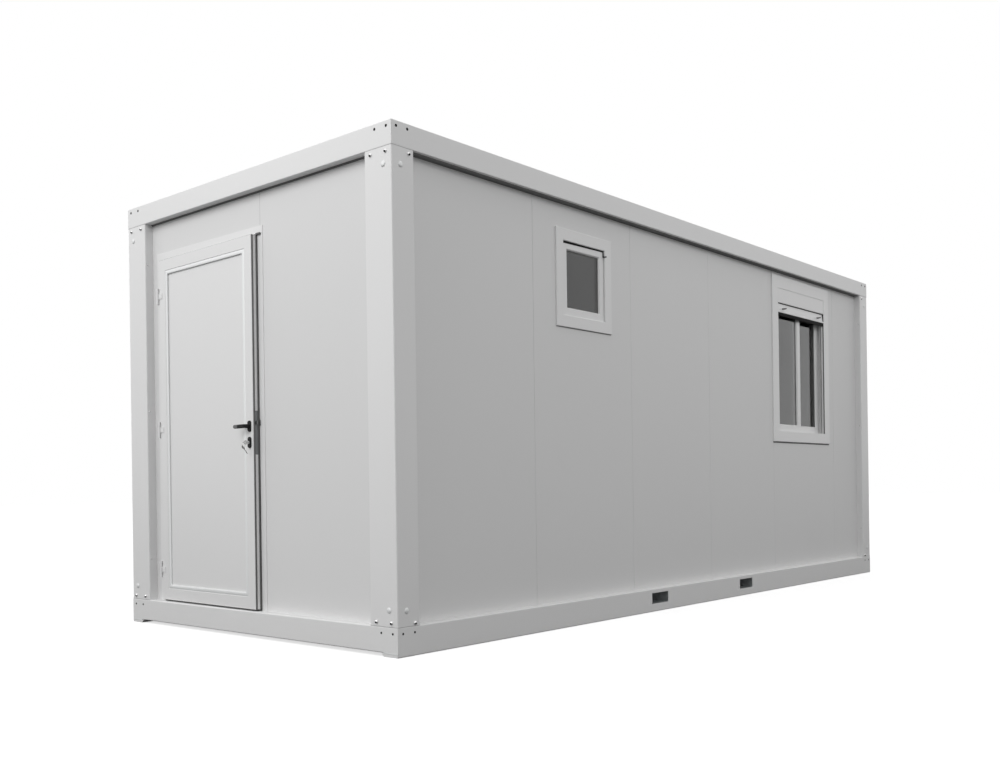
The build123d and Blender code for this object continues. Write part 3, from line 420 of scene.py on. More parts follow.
def make_materials(colours):
    """Every finish by the name of its slot, and those of the small pieces."""
    effects = {
        "coat": make_coat_group(), "weather": make_weather_group(), "edges": make_edge_group(),
        "zinc": make_zinc_group(), "grain": make_grain_group()}
    coats = {
        "ring_white": {"colour": colours.ring_paint, "gloss": 0.34, "peel": 0.15, "wear": 0.35},
        "panel_white": {"colour": colours.panel_paint, "gloss": 0.46, "peel": 0.1, "wave": 6.0},
        "pvc_white": {
            "colour": colours.window_white, "gloss": 0.30, "peel": 0.05, "dust": 0.03, "edge": 0.0016},
        "door_white": {"colour": colours.door_paint, "gloss": 0.30, "peel": 0.06},
    }
    # Each metal's colour, gloss, and the stretch and scale of its grain
    metals = {
        "bare_aluminium": ((0.70, 0.71, 0.72), 0.35, (40.0, 1.0, 40.0), 60.0),
        "lock_steel": ((0.24, 0.245, 0.25), 0.40, (8.0, 8.0, 1.0), 160.0),
        "lock_nickel": ((0.58, 0.58, 0.58), 0.26, (1.0, 1.0, 6.0), 300.0),
        "bolt_zinc": ((0.86, 0.86, 0.86), 0.22, NO_STRETCH, 500.0),
    }
    # Each plastic's or rubber's colour, gloss, scale of grain and specular level
    plastics = {
        "black_plastic": (BLACK, 0.5, 900.0, 0.2),
        # The rubber's black also paints shade in sockets, holes and gaps
        "rubber_and_shade": (tuple(colours.rubber_and_shade), 0.8, 700.0, 0.15),
        "stop_grey": ((0.30, 0.30, 0.30), 0.5, 700.0, 0.5),
        # These two dark greys also paint shade: in the gaps round the door leaf and its head, under the
        # window trims and under the roof ring
        "seal_and_shade_grey": ((0.16, 0.16, 0.16), 0.7, 700.0, 0.2),
        "rail_seal_and_shade": ((0.24, 0.24, 0.24), 0.7, 700.0, 0.2),
        "joint_grey": ((0.50, 0.50, 0.50), 0.6, 300.0, 0.5),
    }
    # Pale grey painted on the levers' outer ends: a painted highlight where their tips catch the light
    tip_highlight_colour = (0.17, 0.17, 0.17)
    tip_highlight_from = 36 * MM
    made = {name: coated_material(name, effects, **finish) for name, finish in coats.items()}
    for name, (colour, gloss, stretch, scale) in metals.items():
        made[name] = grained_material(name, effects, colour, gloss, 1.0, stretch, scale)
    for name, (colour, gloss, scale, specular) in plastics.items():
        made[name] = grained_material(name, effects, colour, gloss, 0.0, NO_STRETCH, scale, specular)
    made["lever_plastic"] = grained_material(
        "lever_plastic", effects, BLACK, 0.5, 0.0, NO_STRETCH, 900.0, 0.2, (tip_highlight_colour, tip_highlight_from))
    made["ceiling_board"] = board_material("ceiling_board", (0.80, 0.80, 0.79), 0.6)
    made["floor_board"] = board_material("floor_board", (0.42, 0.39, 0.35), 0.5)
    made["galvanised"] = zinc_material("galvanised", effects, (0.60, 0.62, 0.63))
    made["window_glass"] = glass_material("window_glass")
    return made


# Modelling helpers
def deselect():
    """Nothing is selected before a new piece is started."""
    bpy.ops.object.select_all(action="DESELECT")


def select_only(piece):
    """Makes a piece the active one, with nothing else selected."""
    deselect()
    bpy.context.view_layer.objects.active = piece
    piece.select_set(True)


def apply_place():
    """Puts the selected pieces' place, turn and scale into their meshes."""
    bpy.ops.object.transform_apply(location=True, rotation=True, scale=True)


def edit(piece, kind=None):
    """Opens a piece in edit mode, with all of it selected where a kind of element is given."""
    select_only(piece)
    bpy.ops.object.mode_set(mode="EDIT")
    if kind:
        bpy.ops.mesh.select_mode(type=kind)
        select_all()


def select_all():
    """Selects the whole mesh that is being edited."""
    bpy.ops.mesh.select_all(action="SELECT")


def close():
    """Leaves edit mode."""
    bpy.ops.object.mode_set(mode="OBJECT")


def pick(piece, kind, test):
    """In edit mode, selects the faces or edges whose middle passes a test."""
    bpy.ops.mesh.select_mode(type=kind)
    bpy.ops.mesh.select_all(action="DESELECT")
    shape = bmesh.from_edit_mesh(piece.data)
    for element in shape.faces if kind == "FACE" else shape.edges:
        corners = [vertex.co for vertex in element.verts]
        element.select_set(bool(test(sum(corners, Vector()) / len(corners))))
    bmesh.update_edit_mesh(piece.data)


def shift(piece, kind, test, by):
    """Moves the faces or edges that pass a test."""
    edit(piece)
    pick(piece, kind, test)
    bpy.ops.transform.translate(value=by)
    close()


def start(add, kind=None, **settings):
    """Adds a primitive at its size and place, and opens it in edit mode."""
    deselect()
    add(**settings)
    piece = bpy.context.object
    apply_place()
    edit(piece, kind)
    return piece


def turned(rings, segments):
    """A round piece about Z at the origin: a disc is extruded up its rings of radius and height."""
    first_radius, first_height = rings[0]
    piece = start(
        bpy.ops.mesh.primitive_circle_add, "FACE",
        vertices=segments, radius=first_radius, fill_type="NGON", location=(0, 0, first_height))
    for (radius, height), (next_radius, next_height) in zip(rings, rings[1:]):
        bpy.ops.mesh.extrude_region_move(
            TRANSFORM_OT_translate={"value": (0, 0, next_height - height)})
        share = next_radius / radius
        bpy.ops.transform.resize(value=(share, share, 1), center_override=(0, 0, next_height))
    select_all()
    bpy.ops.mesh.normals_make_consistent(inside=False)
    close()
    return piece


def dome(radius, rim, rise, steps, quarter, inner=1.0):
    """Rings of a domed head: an upright rim, then steps of a round that would reach its pole in quarter."""
    rings = [(radius, 0), (radius, rim)]
    for step in range(1, steps + 1):
        angle = math.pi / 2 * step / quarter
        rings.append((radius * inner * math.cos(angle), rim + rise * math.sin(angle)))
    return rings


def bar(corner, opposite, ease, segments=2):
    """A straight strip between two opposite corners with all its edges eased."""
    low = Vector([min(pair) for pair in zip(corner, opposite)])
    high = Vector([max(pair) for pair in zip(corner, opposite)])
    piece = start(
        bpy.ops.mesh.primitive_cube_add, "EDGE", size=1, location=(low + high) / 2, scale=high - low)
    bpy.ops.mesh.bevel(offset=ease, segments=segments, affect="EDGES")
    close()
    return piece


def corner_bars(corner, opposite, ease):
    """The same strip at all four corners of the cabin, from its place in the positive one."""
    bars = []
    for along_x, along_y in CORNERS:
        first, second = [(along_x * x, along_y * y, z) for x, y, z in (corner, opposite)]
        bars.append(bar(first, second, ease))
    return bars


def surround(low, high, width, depth, ease):
    """A mitred ring that stands across X: a sheet is inset, opened, drawn out along X and eased.
    low and high are the corners of its outline, and it starts at low's X."""
    deselect()
    middle = (low + high) / 2
    size = high - low
    middle.x = low.x
    bpy.ops.mesh.primitive_plane_add(size=1, location=middle, rotation=(0, math.pi / 2, 0))
    piece = bpy.context.object
    piece.scale = (size.z, size.y, 1)
    apply_place()
    edit(piece, "FACE")
    bpy.ops.mesh.inset(thickness=width, use_even_offset=True)
    bpy.ops.mesh.delete(type="FACE")
    select_all()
    bpy.ops.mesh.extrude_region_move(TRANSFORM_OT_translate={"value": (depth, 0, 0)})
    select_all()
    bpy.ops.mesh.normals_make_consistent(inside=False)
    bpy.ops.mesh.select_mode(type="EDGE")
    bpy.ops.mesh.edges_select_sharp(sharpness=math.radians(40))
    bpy.ops.mesh.bevel(offset=ease, segments=2, affect="EDGES")
    close()
    return piece


def copied(master, places):
    """A master set at each place with its Z axis pointing out, each copy with its own mesh."""
    copies = []
    for place, facing in places:
        copy = master.copy()
        copy.data = master.data.copy()
        bpy.context.scene.collection.objects.link(copy)
        copy.rotation_euler = Vector(facing).to_track_quat("Z", "Y").to_euler()
        copy.location = place
        copies.append(copy)
    bpy.data.objects.remove(master)
    return copies


def joined(pieces):
    """Several pieces made one mesh at the origin, unturned and unscaled."""
    select_only(pieces[0])
    for piece in pieces:
        piece.select_set(True)
    if len(pieces) > 1:
        bpy.ops.object.join()
    apply_place()
    return pieces[0]


def finish_piece(name, pieces, material, body="root", angle=35):
    """Joins pieces under one name, and gives them a material, smooth rounds and a body.
    A material's name that the frame has too means the frame's own plain finish."""
    piece = joined(pieces)
    piece.name = name
    piece.data.name = name
    bpy.ops.object.shade_smooth_by_angle(angle=math.radians(angle))
    piece.data.materials.clear()
    piece.data.materials.append(bpy.data.materials[material])
    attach(piece, body)


def turned_with_door(piece, opening):
    """Turns a piece modelled for the shut door to where the door stands at rest."""
    hinge = next(joint for joint in frame["joints"] if joint["name"] == "door_swing")
    spot = Vector(hinge["pos_m"])
    swing = Matrix.Rotation(-opening, 4, "Z")
    piece.matrix_world = Matrix.Translation(spot) @ swing @ Matrix.Translation(-spot) @ piece.matrix_world
    select_only(piece)
    apply_place()


def grid(steps, heights):
    """Every height at every step off a corner."""
    return [(step, height) for height in heights for step in steps]


def post_places(end_steps, side_steps):
    """Places on the posts' outer faces, from steps off the corner and heights, with their directions."""
    places = []
    for along_x, along_y in CORNERS:
        for step, height in end_steps:
            place = (along_x * HALF_LENGTH, along_y * (HALF_WIDTH - step), height)
            places.append((place, (along_x, 0, 0)))
        for step, height in side_steps:
            place = (along_x * (HALF_LENGTH - step), along_y * HALF_WIDTH, height)
            places.append((place, (0, along_y, 0)))
    return places


# Operators: one for each kind of piece
class CABIN_OT_finishes(bpy.types.Operator):
    """Give every part of the frame its finish."""

    bl_idname = "cabin.finishes"
    bl_label = "Finishes"

    def execute(self, context):
        materials = make_materials(context.scene.cabin_finishes)
        for node in frame["nodes"].values():
            slots = [slot.name.split(".")[0] for slot in node.data.materials if slot]
            node.data.materials.clear()
            node.data.materials.append(materials[slots[0]])
        frame["nodes"]["lever_handles"].data.materials[0] = materials["lever_plastic"]
        return {"FINISHED"}


class CABIN_OT_post_bolts(bpy.types.Operator):
    """Add the button-head bolts that hold the posts to the rings, with their dark hex sockets set low, so
    that the sockets' black also paints the shade of each head's lower side.
    """

    bl_idname = "cabin.post_bolts"
    bl_label = "Post bolts"

    def execute(self, context):
        sizes = context.scene.cabin_sizes
        radius = sizes.bolt_width / 2
        crown = sizes.bolt_height
        rim = 0.8 * MM
        places = post_places(
            grid((43 * MM, 151 * MM), (2500 * MM, 171 * MM)),
            grid((120 * MM,), (2501 * MM, 164 * MM)))
        head = turned(dome(radius, rim, crown, 5, 6), 24)
        finish_piece("post_bolts", copied(head, places), "bolt_zinc", angle=60)
        across = radius * 0.56
        shade_drop = radius * 0.30
        brim = crown + 1.0 * MM
        top = crown + 1.2 * MM
        socket = turned([(across, crown * 0.2), (across, brim), (across * 0.8, top)], 6)
        # Set low in the head, the black socket is partly a real socket and partly painted shade of the
        # head's lower side
        shift(socket, "FACE", lambda middle: True, (0, -shade_drop, 0))
        finish_piece("bolt_sockets_and_shade", copied(socket, places), "rubber_and_shade", angle=40)
        return {"FINISHED"}


class CABIN_OT_post_caps(bpy.types.Operator):
    """Add the domed caps over the posts' lifting bolts."""

    bl_idname = "cabin.post_caps"
    bl_label = "Post caps"

    def execute(self, context):
        radius = context.scene.cabin_sizes.cap_width / 2
        rise = radius * 0.28
        rim = 1.2 * MM
        cap = turned(dome(radius, rim, rise, 6, 6.5, inner=0.97), 24)
        places = post_places(
            grid((60 * MM,), (2438 * MM, 232 * MM)), grid((62 * MM,), (2437 * MM, 229 * MM)))
        finish_piece("post_caps", copied(cap, places), "ring_white", angle=50)
        return {"FINISHED"}


class CABIN_OT_ring_plugs(bpy.types.Operator):
    """Add black plugs in the holes of the roof and floor rings, which paint the shade inside the holes."""

    bl_idname = "cabin.ring_plugs"
    bl_label = "Ring plugs"

    def execute(self, context):
        sizes = context.scene.cabin_sizes
        roof = (sizes.roof_plug_width, (36 * MM, 119 * MM), (34 * MM, 112 * MM), 2622 * MM)
        floor = (sizes.floor_plug_width, (36 * MM, 118 * MM), (36 * MM, 118 * MM), 117 * MM)
        lip = 1.2 * MM
        dish = 0.3 * MM
        plugs = []
        for width, end_steps, side_steps, height in (roof, floor):
            radius = width / 2
            plug = turned([
                (radius, 0), (radius, 0.7 * MM), (radius * 0.88, lip), (radius * 0.62, lip),
                (radius * 0.5, dish)], 20)
            places = post_places(grid(end_steps, (height,)), grid(side_steps, (height,)))
            plugs.extend(copied(plug, places))
        # The plugs' black is painted shade inside the ring holes
        finish_piece("ring_plugs", plugs, "rubber_and_shade", angle=40)
        return {"FINISHED"}


class CABIN_OT_return_screws(bpy.types.Operator):
    """Add the screws that hold the panels through the posts' returns."""

    bl_idname = "cabin.return_screws"
    bl_label = "Return screws"

    def execute(self, context):
        radius = context.scene.cabin_sizes.screw_width / 2
        screw = turned([
            (radius, 0), (radius, 0.8 * MM), (radius * 0.8, 2.4 * MM), (radius * 0.42, 3.0 * MM),
            (radius * 0.36, 1.2 * MM)], 16)
        depth = 19 * MM
        places = []
        for along_x, along_y in CORNERS:
            for height in (2268 * MM, 1341 * MM, 410 * MM):
                side = (along_x * POST_EDGE_X, along_y * (HALF_WIDTH - depth), height)
                places.append((side, (-along_x, 0, 0)))
                end = (along_x * (HALF_LENGTH - depth), along_y * POST_EDGE_Y, height)
                places.append((end, (0, -along_y, 0)))
        finish_piece("return_screws", copied(screw, places), "bolt_zinc", angle=40)
        return {"FINISHED"}


class CABIN_OT_panel_seals(bpy.types.Operator):
    """Add the dark seals between the panels' tops and the roof ring, whose dark also paints the shade of
    the gap there, and the dark strips under the ring, which are painted shade on its underside.
    """

    bl_idname = "cabin.panel_seals"
    bl_label = "Panel seals"

    def execute(self, context):
        proud = 4 * MM
        under_side = 38 * MM
        under_end = 12 * MM
        thick = 2 * MM
        ease = 0.8 * MM
        seal = (proud, proud, POST_TOP - context.scene.cabin_sizes.seal_height)
        strip = (under_side, under_end, POST_TOP - thick)
        seals = []
        for side_out, end_out, foot in (seal, strip):
            for face, out in ((PANEL_FACE_Y, -side_out), (BACK_PANEL_FACE_Y, side_out)):
                seals.append(bar((-POST_EDGE_X, face, foot), (POST_EDGE_X, face + out, POST_TOP), ease))
            for face, out in ((DOOR_PANEL_FACE_X, -end_out), (FAR_PANEL_FACE_X, end_out)):
                seals.append(bar((face, -POST_EDGE_Y, foot), (face + out, POST_EDGE_Y, POST_TOP), ease))
        # Partly seals, partly painted shade under the roof ring
        finish_piece("panel_top_seals_and_shade", seals, "rail_seal_and_shade")
        return {"FINISHED"}


class CABIN_OT_ring_joints(bpy.types.Operator):
    """Add the sealant in the joints between the posts and the rings, and over the door."""

    bl_idname = "cabin.ring_joints"
    bl_label = "Ring joints"

    def execute(self, context):
        half = 1.4 * MM
        proud = 0.3 * MM
        deep = 2 * MM
        inner_x = HALF_LENGTH - deep
        inner_y = HALF_WIDTH - deep
        outer_x = HALF_LENGTH + proud
        outer_y = HALF_WIDTH + proud
        joints = []
        for level in (BASE_TOP, POST_TOP):
            low = level - half
            high = level + half
            joints += corner_bars((POST_EDGE_X, inner_y, low), (outer_x, outer_y, high), proud)
            joints += corner_bars((inner_x, POST_EDGE_Y, low), (outer_x, inner_y, high), proud)
        over_door = -90.5 * MM
        foot = DOOR_FRAME[1].z + 1 * MM
        head = POST_TOP - 9 * MM
        joints.append(bar(
            (DOOR_PANEL_FACE_X - proud, over_door - half, foot),
            (DOOR_PANEL_FACE_X + deep, over_door + half, head), proud))
        finish_piece("ring_joint_sealant", joints, "joint_grey")
        return {"FINISHED"}


class CABIN_OT_foot_welds(bpy.types.Operator):
    """Add the weld beads between the end rails and the corner feet."""

    bl_idname = "cabin.foot_welds"
    bl_label = "Foot welds"

    def execute(self, context):
        foot_width = 100 * MM
        seam = 18 * MM
        half = 3.5 * MM
        proud = 0.6 * MM
        inner = (HALF_LENGTH - 3 * MM, HALF_WIDTH - foot_width - 2 * MM, seam - half)
        outer = (HALF_LENGTH + proud, HALF_WIDTH - 1 * MM, seam + half)
        welds = corner_bars(inner, outer, proud)
        finish_piece("foot_welds", welds, "ring_white")
        return {"FINISHED"}


class CABIN_OT_leaf_gaskets(bpy.types.Operator):
    """Add the two dark gaskets round the edge of the door leaf, whose dark also paints the shade in the gap
    between the leaf and its frame.
    """

    bl_idname = "cabin.leaf_gaskets"
    bl_label = "Leaf gaskets"

    def execute(self, context):
        groove_in = 3 * MM
        front_wide = 10 * MM
        back_wide = 11 * MM
        lip = 2.5 * MM
        deep = lip + 3.8 * MM
        ease = 1 * MM
        front = LEAF_LOW.x + groove_in
        back = LEAF_HIGH.x - groove_in - back_wide
        rings = []
        for start, wide in ((front, front_wide), (back, back_wide)):
            low = Vector((start, LEAF_LOW.y - lip, LEAF_LOW.z - lip))
            high = Vector((start + wide, LEAF_HIGH.y + lip, LEAF_HIGH.z + lip))
            rings.append(surround(low, high, deep, wide, ease))
        gaskets = joined(rings)
        turned_with_door(gaskets, context.scene.cabin_sizes.door_opening)
        # Partly gaskets, partly painted shade of the gap round the leaf
        finish_piece("leaf_gaskets", [gaskets], "seal_and_shade_grey", body="door")
        return {"FINISHED"}


class CABIN_OT_leaf_moulding(bpy.types.Operator):
    """Add the flat moulding that frames the leaf's infill on the outside."""

    bl_idname = "cabin.leaf_moulding"
    bl_label = "Leaf moulding"

    def execute(self, context):
        profile = 68 * MM
        groove = 2 * MM
        wide = 23 * MM
        below_face = 1 * MM
        infill_depth = 10.5 * MM
        ease = 3 * MM
        from_edge = Vector((0, profile + groove, profile + groove))
        low = LEAF_LOW + from_edge
        low.x = LEAF_LOW.x + below_face
        moulding = surround(low, LEAF_HIGH - from_edge, wide, infill_depth - below_face, ease)
        turned_with_door(moulding, context.scene.cabin_sizes.door_opening)
        finish_piece("leaf_moulding", [moulding], "door_white", body="door")
        return {"FINISHED"}


class CABIN_OT_door_head_seals(bpy.types.Operator):
    """Add a dark strip and a dark corner at the head of the door opening, which are painted shade of the
    gap over the leaf, and the filler behind the latch's notch.
    """

    bl_idname = "cabin.door_head_seals"
    bl_label = "Door head seals"

    def execute(self, context):
        face = DOOR_FRAME[0].x
        head = LEAF_HIGH.z
        thin = 0.6 * MM
        # Painted shade of the gap over the leaf: a thin dark strip and a dark corner
        strip = bar(
            (face - thin, LEAF_LOW.y - 2 * MM, head + 5 * MM), (face, LEAF_HIGH.y, head + 10 * MM),
            thin / 2, 1)
        corner = bar(
            (face - 11 * MM, JAMB_Y - 32 * MM, head + 1 * MM),
            (face, LEAF_LOW.y - 2.5 * MM, head + 12 * MM), 1.5 * MM)
        finish_piece("door_head_gap_shade", [strip, corner], "seal_and_shade_grey")
        middle = (LATCH[0].z + LATCH[1].z) / 2
        half_tall = 15.5 * MM
        proud = 0.2 * MM
        filler = bar(
            (face - proud, JAMB_Y - 16.5 * MM, middle - half_tall),
            (face + 3 * MM, JAMB_Y - 6.5 * MM, middle + half_tall), proud, 1)
        finish_piece("strike_filler", [filler], "door_white")
        return {"FINISHED"}


class CABIN_OT_window_seals(bpy.types.Operator):
    """Add the seals below both windows and round the wide window's slat; their dark also paints the shade
    under the trims and beside and under the slat.
    """

    bl_idname = "cabin.window_seals"
    bl_label = "Window seals"

    def execute(self, context):
        thick = 1.5 * MM
        behind_trim = 0.6 * MM
        seals = []
        # Thin dark seals beside the slat and under both trims, partly seals and partly painted shade of the
        # gaps there
        for inward, edge in ((-1, SLAT[1].x), (1, SLAT[0].x)):
            seals.append(bar(
                (edge, WIDE_FRAME[0].y + behind_trim, GUIDES[0].z),
                (edge + inward * thick, GUIDES[0].y, SLAT[1].z), 0.5 * MM, 1))
        inset = 4 * MM
        for (low, high), tall in ((WIDE_FRAME, 9 * MM), (SMALL_FRAME, 2.5 * MM)):
            seals.append(bar(
                (low.x + inset, PANEL_FACE_Y - inset, low.z - tall),
                (high.x - inset, PANEL_FACE_Y, low.z + 1 * MM), 1 * MM))
        finish_piece("frame_seals_and_shade", seals, "seal_and_shade_grey")
        self.add_slat_seals()
        return {"FINISHED"}

    def add_slat_seals(self):
        """Painted shade: the black lip under the bottom slat stands for the shade below it, and the black
        brushes over it and beside it for the shaded reveal that the glass reflects.
        """
        low, high = SLAT
        lip = 28 * MM
        brush_back = low.y + 12 * MM
        ease = 0.8 * MM
        under = bar(
            (low.x + 1 * MM, low.y + 1.5 * MM, low.z - lip), (high.x - 0.5 * MM, low.y + 7 * MM, low.z),
            1.5 * MM)
        over = bar(
            (low.x + 1 * MM, low.y + 7 * MM, high.z - 4.5 * MM),
            (high.x - 1 * MM, brush_back, high.z), ease)
        beside = bar(
            (high.x - 5 * MM, low.y + 3 * MM, low.z + 12 * MM),
            (high.x - 0.5 * MM, brush_back, high.z - 4 * MM), ease)
        finish_piece("slat_shade_seals", [under, over, beside], "rubber_and_shade")


class CABIN_OT_sash_gasket(bpy.types.Operator):
    """Add the small window's painted shade: a broad black strip for the shaded gap under the trim's head,
    and a narrow grey strip for the gap down one side.
    """

    bl_idname = "cabin.sash_gasket"
    bl_label = "Sash gasket"

    def execute(self, context):
        tall = 12 * MM
        taper = 5 * MM
        narrow = 3 * MM
        waist = 1.6 * MM
        over = bar(
            (SASH_LEFT, SASH_FACE - 2 * MM, SASH_HEAD - tall),
            (SASH_RIGHT, SASH_FACE, SASH_HEAD - 0.2 * MM), 0.6 * MM, 1)
        shift(
            over, "EDGE",
            lambda middle: middle.x > SASH_RIGHT - taper and middle.z < SASH_HEAD - tall / 2,
            (0, 0, taper))
        beside = bar(
            (SASH_RIGHT - narrow, SASH_FACE - 1.2 * MM, SASH_FOOT + 4 * MM),
            (SASH_RIGHT, SASH_FACE, SASH_HEAD - tall / 2), 0.4 * MM, 1)
        shift(
            beside, "EDGE",
            lambda middle: middle.x < SASH_RIGHT - narrow / 2 and middle.z < SASH_FOOT + tall,
            (waist, 0, 0))
        # Both strips are painted shade of the gaps round the sash
        finish_piece("sash_gasket", [over], "rubber_and_shade")
        finish_piece("sash_side_gap_shade", [beside], "joint_grey")
        return {"FINISHED"}


class CABIN_OT_sash_catch(bpy.types.Operator):
    """Add the small catch at the sash's upper corner."""

    bl_idname = "cabin.sash_catch"
    bl_label = "Sash catch"

    def execute(self, context):
        trim_y = SMALL_FRAME[0].y
        left = SASH_RIGHT - 9 * MM
        foot = SASH_HEAD - 34 * MM
        body = bar(
            (left, SASH_FACE - 5 * MM, foot),
            (SASH_RIGHT - 1 * MM, SASH_FACE, SASH_HEAD - 5 * MM), 1.5 * MM)
        hook = bar(
            (left, trim_y - 2 * MM, foot - 6 * MM), (SASH_RIGHT + 4 * MM, SASH_FACE, foot), 1.2 * MM)
        shift(
            hook, "FACE", lambda middle: middle.x > SASH_RIGHT and middle.y > trim_y,
            (0, trim_y - SASH_FACE, 0))
        finish_piece("sash_catch", [body, hook], "black_plastic")
        return {"FINISHED"}


class CABIN_OT_shutter_stops(bpy.types.Operator):
    """Add the two pegs that stop the shutter's bottom slat."""

    bl_idname = "cabin.shutter_stops"
    bl_label = "Shutter stops"

    def execute(self, context):
        radius = 8 * MM
        length = 36 * MM
        peg = turned([
            (radius, 0), (radius * 0.95, length * 0.2), (radius * 0.7, length * 0.85),
            (radius * 0.6, length * 0.97), (radius * 0.4, length)], 20)
        left = SLAT[0].x + 96 * MM
        right = SLAT[1].x - 118 * MM
        height = SLAT[0].z + 33 * MM
        sunk = 8 * MM
        places = [((along, SLAT[0].y + sunk, height), (0, -1, 0)) for along in (left, right)]
        finish_piece("shutter_stops", copied(peg, places), "stop_grey", angle=50)
        return {"FINISHED"}


class CABIN_OT_spare_key(bpy.types.Operator):
    """Add the second key and the split ring that hangs it from the one in the lock."""

    bl_idname = "cabin.spare_key"
    bl_label = "Spare key"

    def execute(self, context):
        ring_radius = 15 * MM
        ring = self.split_ring(ring_radius)
        key = self.key()
        middle = (CYLINDER[0] + CYLINDER[1]) / 2
        hang = Vector((CYLINDER[0].x + 4 * MM, middle.y, middle.z))
        lean = Vector((0.62, -0.04, -0.78))
        ring.rotation_euler = (math.radians(90), 0, math.radians(20))
        ring.location = hang - Vector((5 * MM, 0, ring_radius - 1.5 * MM))
        key.rotation_euler = lean.to_track_quat("-Y", "Z").to_euler()
        key.location = ring.location - Vector((4 * MM, 0, ring_radius + 1 * MM))
        finish_piece(
            "spare_key_and_ring", [ring, key], "lock_nickel", body="door", angle=40)
        return {"FINISHED"}

    def split_ring(self, ring_radius):
        """Two coils of round wire, one on the other."""
        wire = 0.9 * MM
        merge = 0.05 * MM
        coils = []
        for coil in (-1, 1):
            piece = start(
                bpy.ops.mesh.primitive_circle_add, vertices=10, radius=wire, fill_type="NOTHING",
                location=(ring_radius, 0, coil * wire), rotation=(math.pi / 2, 0, 0))
            select_all()
            bpy.ops.mesh.spin(steps=40, angle=2 * math.pi, center=(0, 0, 0), axis=(0, 0, 1))
            select_all()
            bpy.ops.mesh.remove_doubles(threshold=merge)
            bpy.ops.mesh.normals_make_consistent(inside=False)
            close()
            coils.append(piece)
        return joined(coils)

    def key(self):
        """A flat key along Y: a round bow with a hole, and a blade with two notches in its edge."""
        bow_radius = 11 * MM
        half_thick = 1.1 * MM
        bow = turned([(bow_radius, -half_thick), (bow_radius, half_thick)], 28)
        edit(bow)
        pick(bow, "FACE", lambda middle: abs(middle.z) > half_thick / 2)
        bpy.ops.mesh.inset(thickness=bow_radius * 0.68)
        bpy.ops.mesh.bridge_edge_loops()
        close()
        blade_end = -44 * MM
        half_wide = 3.6 * MM
        thin = half_thick * 0.9
        blade = bar((-half_wide, blade_end, -thin), (half_wide, -bow_radius * 0.85, thin), 0.3 * MM, 1)
        cuts = [-(14 + step * 3.4) * MM for step in range(5)]
        notched = (cuts[1], cuts[3])
        notch = 1.8 * MM
        near = 0.05 * MM
        edit(blade)
        for level in cuts:
            select_all()
            bpy.ops.mesh.bisect(plane_co=(0, level, 0), plane_no=(0, 1, 0))
        shape = bmesh.from_edit_mesh(blade.data)
        for vertex in shape.verts:
            if vertex.co.x > 2.5 * MM and any(abs(vertex.co.y - level) < near for level in notched):
                vertex.co.x -= notch
        bmesh.update_edit_mesh(blade.data)
        close()
        return joined([bow, blade])


